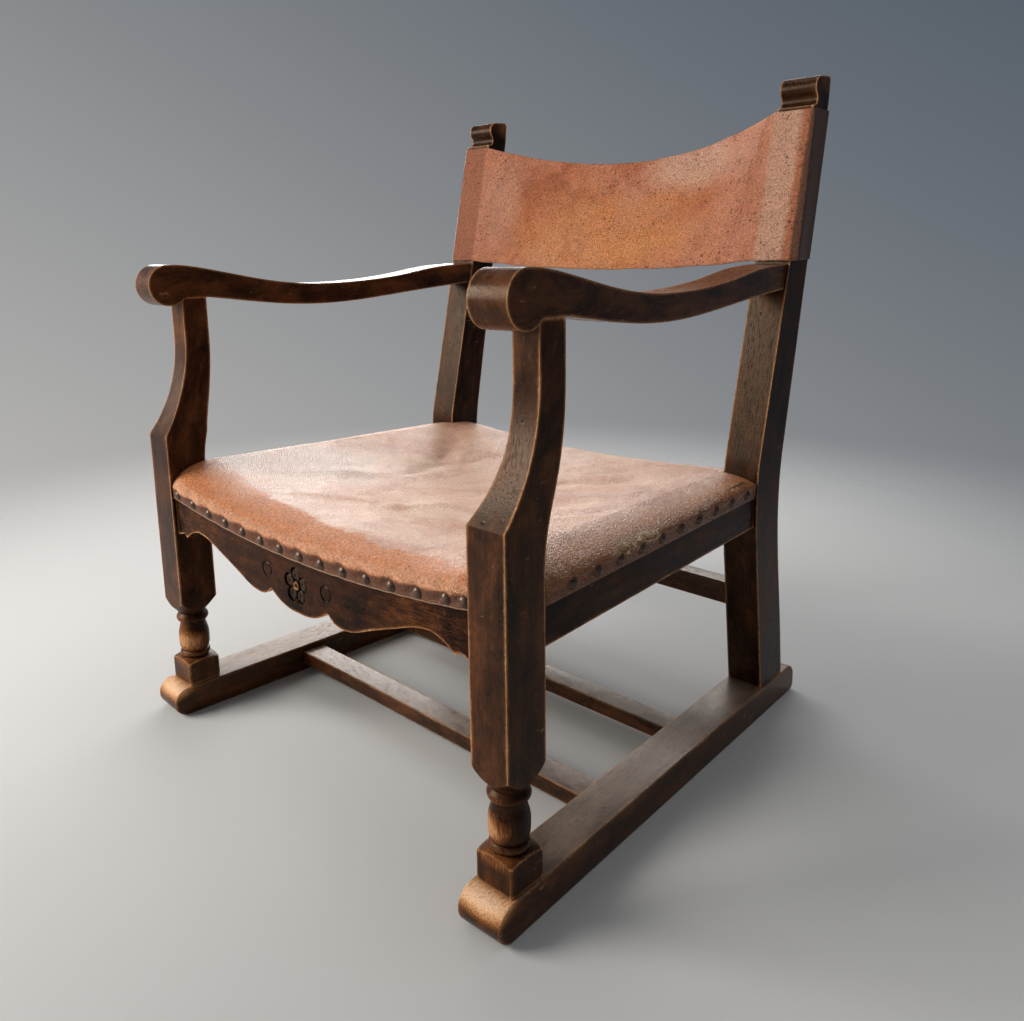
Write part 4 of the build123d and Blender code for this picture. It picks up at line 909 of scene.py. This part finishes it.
def buildSeatCover(settings):
    columns, rows, rollCells = settings["columns"], settings["rows"], settings["rollCells"]
    edgeCells = rollCells + settings["skirtCells"]
    halfColumns, halfRows = columns / 2 + edgeCells, rows / 2 + edgeCells
    bm = bmesh.new()
    bmesh.ops.create_grid(bm, x_segments=columns + 2 * edgeCells, y_segments=rows + 2 * edgeCells, size=1.0)
    sideRoll = bm.verts.layers.float.new("sideRoll")
    endRoll = bm.verts.layers.float.new("endRoll")
    corners = []
    for face in bm.faces:
        centre = face.calc_center_median()
        if abs(centre.x) * halfColumns > columns / 2 and abs(centre.y) * halfRows > rows / 2:
            corners.append(face)
    bmesh.ops.delete(bm, geom=corners, context="FACES")

    def edgeShare(cells):
        # Cells past the notch line as 0 to 1 over the roll and 1 to 2 over the skirt
        if cells < 1e-6:
            return 0.0
        return cells / rollCells if cells <= rollCells else 1 + (cells - rollCells) / settings["skirtCells"]

    for vert in bm.verts:
        column, row = vert.co.x * halfColumns, vert.co.y * halfRows
        depth = mix(frontNotch, rearNotch, clipped(0.5 + row / rows))
        x = innerReach(depth) * clipped(column / (columns / 2), -1.0)
        vert[sideRoll] = edgeShare(max(abs(column) - columns / 2, 0.0))
        vert[endRoll] = edgeShare(max(abs(row) - rows / 2, 0.0))
        vert.co = coverPoint(x, depth, vert[sideRoll], vert[endRoll])
    bm.normal_update()
    piece = finishMesh(bm, "seatCover", [seatLeather, cutEdge, fleshSide], 80.0)
    thicken(piece, settings["thickness"])
    declare(piece, ["seat_leather", "seat_stuffing"])


buildSeatCover(cover)
print("stage: seat covered")

# Sling back: one hide round both posts
sling = {
    "thickness": 0.0024,
    "acrossCells": 150,
    "wrapCells": 44,
    "upCells": 60,
    "flap": 0.030,
    "cornerRadius": 0.0035,
    "postInner": 0.2350,
    "top": (0.7330, 0.6945),  # at the posts, in the middle
    "bottom": (0.5630, 0.5510),
    "bows": (0.020, 0.045),  # at the bottom, at the top
    "slack": 0.010,
    # Faces of the posts: depth, lean, height where they are measured
    "frontAt": (0.5135, 0.225, 0.5630),
    "backAt": (0.55925, 0.18, 0.5630),
    "waves": 0.0022,
    "tabLift": 0.013,
    # Upright creases: x, half width, depth
    "creases": (
        (-0.222, 0.006, -0.0018), (0.105, 0.020, 0.0022), (-0.150, 0.022, 0.0018), (0.200, 0.010, -0.0014),
    ),
    "postFaces": (0.044, 0.045),  # across, from front to back
    "flatEase": 0.02,
}


def leaning(line, height):
    depth, slope, level = line
    return depth + slope * (height - level)


def slingPath(height):
    # Corner points of the hide's outside in plan, from the middle of the front to the flap's edge
    grow = sling["thickness"]
    outer = postHigh.x + grow
    front = leaning(sling["frontAt"], height) - grow
    back = leaning(sling["backAt"], height) + grow
    plan = ((sling["postInner"], front), (outer, front), (outer, back), (postHigh.x - sling["flap"], back))
    return [Vector(corner) for corner in plan]


def alongPath(points, steps, distance, radius):
    # Point at a distance along straight runs joined by rounded corners
    total = 0.0
    for index, step in enumerate(steps):
        run = step.length
        if distance <= total + run or index == len(steps) - 1:
            here = clipped(distance - total, 0.0, run)
            spot = points[index] + step.normalized() * here
            for corner, gap in ((index, here), (index + 1, run - here)):
                if 0 < corner < len(steps) and gap < radius:
                    inward = (steps[corner].normalized() - steps[corner - 1].normalized()).normalized()
                    spot += inward * radius * 0.41 * (1 - gap / radius) ** 2
            return spot
        total += run


def slingPoint(acrossShare, upShare):
    # Place on the sling's face. acrossShare from -1 to 1 between the posts, beyond that round them
    inner = sling["postInner"]
    reach = abs(acrossShare)
    bulge = 1 - min(reach, 1.0) ** 2
    along = acrossShare * inner
    top = mix(*sling["top"], bulge * (1 + 0.06 * acrossShare)) + 0.0008 * waver(along * 40.0, 0.0, 7.0)
    bottom = mix(*sling["bottom"], bulge) + 0.0010 * waver(along * 30.0, 0.0, 4.0)
    height = mix(bottom, top, upShare)
    if reach <= 1:
        bow = mix(*sling["bows"], upShare) * bulge
        front = leaning(sling["frontAt"], height) - sling["thickness"]
        calm = min((1 - reach) / 0.08, 1.0)
        ripple = waver(along * 8.0, height * 10.0, 2.0) * sling["waves"] * calm
        for place, width, rise in sling["creases"]:
            ripple += rise * exp(-((along - place - 0.05 * (upShare - 0.5)) / width) ** 2) * calm
        return Vector((along, fromFront(front + bow + ripple), height))
    points = slingPath(height)
    steps = [end - start for start, end in zip(points, points[1:])]
    length = sum(step.length for step in steps)
    travel = (reach - 1) * length
    spot = alongPath(points, steps, travel, sling["cornerRadius"])
    if acrossShare > 0:
        # The sitter's left fold is slack and stands off the post towards the bottom
        looseness = sling["slack"] * mix(1.0, 0.25, upShare)
        side = smoothStep(spot.x, inner + 0.004, postHigh.x)
        back = smoothStep(spot.y, points[2].y - 0.006, points[1].y - 0.004)
        spot.x += looseness * side * back
        spot.y -= 0.35 * looseness * side * back
        # A curled tab where the flap has come away at the top
        flap = travel - (length - sling["flap"])
        loose = smoothStep(upShare, 0.815, 0.835) * (1 - smoothStep(upShare, 0.975, 0.995))
        if flap > 0.004:
            lift = (flap - 0.004) / (sling["flap"] - 0.004)
            spot.y += sling["tabLift"] * loose * lift ** 0.8
            spot.x += 0.030 * loose * lift * (1.15 - 0.5 * lift)
    return Vector((spot.x if acrossShare > 0 else -spot.x, fromFront(spot.y), height))


def buildSling(settings):
    bm = bmesh.new()
    half = settings["acrossCells"] / 2
    across = settings["acrossCells"] + 2 * settings["wrapCells"]
    bmesh.ops.create_grid(bm, x_segments=across, y_segments=settings["upCells"], size=1.0)
    for vert in bm.verts:
        column = vert.co.x * across / 2
        if abs(column) <= half:
            share = column / half
        else:
            share = (1 if column > 0 else -1) * (1 + (abs(column) - half) / settings["wrapCells"])
        vert.co = slingPoint(share, 0.5 + vert.co.y / 2)
    bmesh.ops.recalc_face_normals(bm, faces=bm.faces)
    bm.normal_update()
    middle = min(bm.faces, key=lambda face: abs(face.calc_center_median().x))
    if middle.normal.y > 0:
        bmesh.ops.reverse_faces(bm, faces=bm.faces)
    piece = finishMesh(bm, "slingBack", [backLeather, cutEdge, fleshSide], 80.0)
    thicken(piece, settings["thickness"] * 0.94)
    declare(piece, ["back_leather"])
    # Flat width: the front, the posts' fronts and outer faces, and the nailed flaps
    postWidth, postDepth = settings["postFaces"]
    width = 2 * (settings["postInner"] + postWidth + postDepth + settings["flap"]) + settings["flatEase"]


buildSling(sling)
print("stage: sling hung")


# Webbing and base cloth under the seat
def clothMaterial(name, light, dark, threads):
    # Plain weave on object coordinates
    material, here = newMaterial(name)
    first, second = ((here.axis(axis) * (threads * 2 * pi)).math("SINE") for axis in ("X", "Y"))
    weave = first * second
    tone = weave * 0.25 + here.noise(40.0, 5.0, 0.6)
    color = tone.ranged(0.25, 0.8).between(dark, light)
    return finished(material, color, 0.9, weave.bumped(0.0005, 0.7), 0.2)


webCloth = clothMaterial("webCloth", (0.40, 0.29, 0.16), (0.20, 0.13, 0.065), 420)
hessianCloth = clothMaterial("hessianCloth", (0.36, 0.25, 0.13), (0.15, 0.095, 0.05), 520)

seatBed = {
    "start": 0.0095, "end": 0.5005, "railTop": 0.306, "dips": (0.021, 0.018), "dipRun": 0.529,
    "railInset": 0.0265, "sideInset": 0.0075, "endReach": 0.2335, "notchGap": 0.010,
    "webThickness": 0.0018, "webWidth": 0.050, "webLift": 0.0013, "webRise": 0.0008,
    "acrossMiddle": 0.2550, "acrossSpacing": 0.1250,
    "longLift": 0.0024, "longReach": 0.2580, "longShares": (-0.6, -0.2, 0.2, 0.6),
    "clothLift": 0.0049, "clothThickness": 0.0008, "clothCells": 60,
}
bedStart, bedEnd, webWidth = seatBed["start"], seatBed["end"], seatBed["webWidth"]


def bedHeight(x, depth):
    # Dished top of the seat frame, where the webbing lies
    share = min(abs(x) / (outerReach(depth) - seatBed["railInset"]), 1.0)
    return seatBed["railTop"] - mix(*seatBed["dips"], depth / seatBed["dipRun"]) * (1 - share ** 2)


def layOnBed(name, low, high, lift, thickness, cells, material, replaced, over=None, reach=None):
    # Flat strip between two corners (x, depth), laid on the bed; with a reach, x is a share of it
    bm = bmesh.new()
    bmesh.ops.create_grid(bm, x_segments=cells[0], y_segments=cells[1], size=1.0)
    for vert in bm.verts:
        x = mix(low[0], high[0], 0.5 + vert.co.x / 2)
        depth = mix(low[1], high[1], 0.5 + vert.co.y / 2)
        x *= reach(depth) if reach else 1.0
        rise = over(x, depth) if over else 0.0
        vert.co = Vector((x, fromFront(depth), bedHeight(x, depth) + lift + rise))
    piece = finishMesh(bm, name, [material], 80.0)
    thicken(piece, thickness, 1.0, 0, 0)
    return declare(piece, replaced)


def crossing(value, places, phase):
    # Small rise and fall where straps pass over and under each other
    rise = 0.0
    for index, place in enumerate(places):
        near = 1 - smoothStep(abs(value - place), 0.018, 0.040)
        rise += near * (1 if (index + phase) % 2 else -1)
    return rise * seatBed["webRise"]


def layWebbing(settings):
    half, thickness = webWidth / 2, settings["webThickness"]
    acrossAt = [settings["acrossMiddle"] + settings["acrossSpacing"] * step for step in (-1, 0, 1)]
    longAt = [settings["longReach"] * share for share in settings["longShares"]]
    for index, depth in enumerate(acrossAt):
        reach = outerReach(depth) - settings["sideInset"]
        strap = layOnBed(
            f"webAcross_{index + 1}", (-reach, depth - half), (reach, depth + half), settings["webLift"],
            thickness, (90, 6), webCloth, [] if index else ["seat_webbing_across"],
            lambda x, _, phase=index: crossing(x, longAt, phase) * (1 if abs(x) < 0.24 else 0),
        )
        2 * reach
    for index, x in enumerate(longAt):
        strap = layOnBed(
            f"webLong_{index + 1}", (x - half, bedStart), (x + half, bedEnd), settings["longLift"],
            thickness, (6, 80), webCloth, [] if index else ["seat_webbing_long"],
            lambda _, depth, phase=index: -crossing(depth, acrossAt, phase),
        )


def clothReach(depth):
    # The cloth reaches the side rails and is cut back to the legs and posts at its ends
    gap = seatBed["notchGap"]
    between = frontNotch + gap < depth < rearNotch - gap
    return outerReach(depth) - seatBed["sideInset"] if between else seatBed["endReach"]


def layBaseCloth(settings):
    cells, lift, thickness = (settings[name] for name in ("clothCells", "clothLift", "clothThickness"))
    cloth = layOnBed("hessian", (-1, bedStart), (1, bedEnd), lift, thickness, (cells, cells), hessianCloth,
                     ["seat_base_cloth"], reach=clothReach)
    widths = [2 * clothReach(mix(bedStart, bedEnd, (row + 0.5) / cells)) for row in range(cells)]
    sum(widths) / cells


layWebbing(seatBed)
layBaseCloth(seatBed)
print("stage: seat bed laid")


# Nails
def nailMaterial():
    material, here = newMaterial("nailBronze")
    grime = here.noise(300.0, 4.0, 0.6)
    color = grime.ranged(0.36, 0.60).between((0.036, 0.018, 0.011), (0.135, 0.074, 0.044))
    rough = grime.ranged(0.35, 0.7, 0.26, 0.46)
    return finished(material, color, rough, grime.bumped(0.0004, 0.4), metal=0.35)


nailBronze = nailMaterial()
for row in ("seat_nails_front", "seat_nails_rear", "seat_nails_left", "seat_nails_right",
            "back_nails_left", "back_nails_right"):
    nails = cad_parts[row]
    nails.data.materials.clear()
    nails.data.materials.append(nailBronze)
print("stage: nails finished")


# Floor and light: far away the floor turns into the plain backdrop
daylight = (1.0, 0.99, 0.97)
studio = {
    "floor": (0.58, 0.58, 0.58),
    "floorSize": 40.0,
    "fade": (0.60, 1.9),
    "highRight": (0.070, 0.094, 0.124),
    "lowLeft": (0.66, 0.635, 0.605),
    "aside": (0.16, 0.165, 0.17),
    "gradient": (-0.375, -0.375, -0.85),
    "gradientReach": (-0.68, 0.75),
    "gradientPower": 1.7,
    "sky": (0.90, 0.95, 1.0),
    "skyStrength": 0.20,
    # Lamps: name, place, target, size, power, color
    "lamps": (
        ("window", (-2.10, 1.45, 1.05), (0.0, 0.0, 0.40), (1.9, 1.0), 40.0, daylight),
        ("sideWindow", (-0.95, 2.35, 1.50), (0.15, 0.0, 0.25), (1.2, 0.9), 15.0, daylight),
        ("overhead", (0.1, 0.3, 2.6), (0.0, 0.0, 0.3), (1.6, 1.6), 10.0, daylight),
        ("front", (-1.45, -1.75, 1.30), (0.0, 0.0, 0.35), (1.3, 1.3), 66.0, (1.0, 0.95, 0.88)),
    ),
}


def backdropColor(direction):
    # One soft sweep of tone over the whole backdrop, by direction
    low, high = studio["gradientReach"]
    along = direction.vector("DOT_PRODUCT", studio["gradient"])
    swept = along.ranged(low, high).math("POWER", studio["gradientPower"])
    sweep = swept.between(studio["highRight"], studio["lowLeft"])
    return layered(sweep, (along.ranged(high + 0.04, 1.0), studio["aside"]))


def seenDirectly(tree):
    # 1 for rays that show the backdrop itself: camera, mirror and glass rays
    rays = addNode(tree, "LightPath")
    camera, mirror, glass = (
        Wire(rays.outputs[f"Is {kind} Ray"]) for kind in ("Camera", "Glossy", "Transmission")
    )
    return camera.most(mirror).most(glass)


def blendShaders(tree, share, first, second, end):
    # Two shaders' blend goes to the tree's end node
    both = addNode(tree, "MixShader")
    feed(both.inputs[0], share)
    tree.links.new(first.outputs[0], both.inputs[1])
    tree.links.new(second.outputs[0], both.inputs[2])
    tree.links.new(both.outputs[0], tree.nodes[end].inputs["Surface"])


def buildFloor(settings):
    bm = bmesh.new()
    bmesh.ops.create_grid(bm, x_segments=1, y_segments=1, size=settings["floorSize"])
    material, here = newMaterial("paleFloor")
    tree = material.node_tree
    finished(material, settings["floor"], 1.0, gloss=0.0)
    far = here.vector("LENGTH").ranged(*settings["fade"], kind="SMOOTHSTEP")
    blendShaders(tree, far * seenDirectly(tree), tree.nodes["Principled BSDF"],
                 addNode(tree, "BsdfTransparent"), "Material Output")
    finishMesh(bm, "floor", [material])


def lightStudio(settings):
    world = bpy.data.worlds.new("studio")
    world.use_nodes = True
    tree = world.node_tree
    sky, backdrop = tree.nodes["Background"], addNode(tree, "Background")
    feed(sky.inputs["Color"], settings["sky"])
    feed(sky.inputs["Strength"], settings["skyStrength"])
    direction = Wire(addNode(tree, "TexCoord").outputs["Generated"])
    feed(backdrop.inputs["Color"], backdropColor(direction))
    blendShaders(tree, seenDirectly(tree), sky, backdrop, "World Output")
    bpy.context.scene.world = world
    for name, place, target, size, power, color in settings["lamps"]:
        data = bpy.data.lights.new(name, "AREA")
        data.shape = "RECTANGLE"
        data.size, data.size_y = size
        data.energy = power
        data.color = color
        lamp = bpy.data.objects.new(name, data)
        lamp.location = place
        lamp.rotation_euler = (Vector(target) - Vector(place)).to_track_quat("-Z", "Y").to_euler()
        lamp.visible_camera = False
        bpy.context.scene.collection.objects.link(lamp)


buildFloor(studio)
lightStudio(studio)
bpy.context.scene.view_settings.view_transform = "Standard"
print("stage: studio lit")
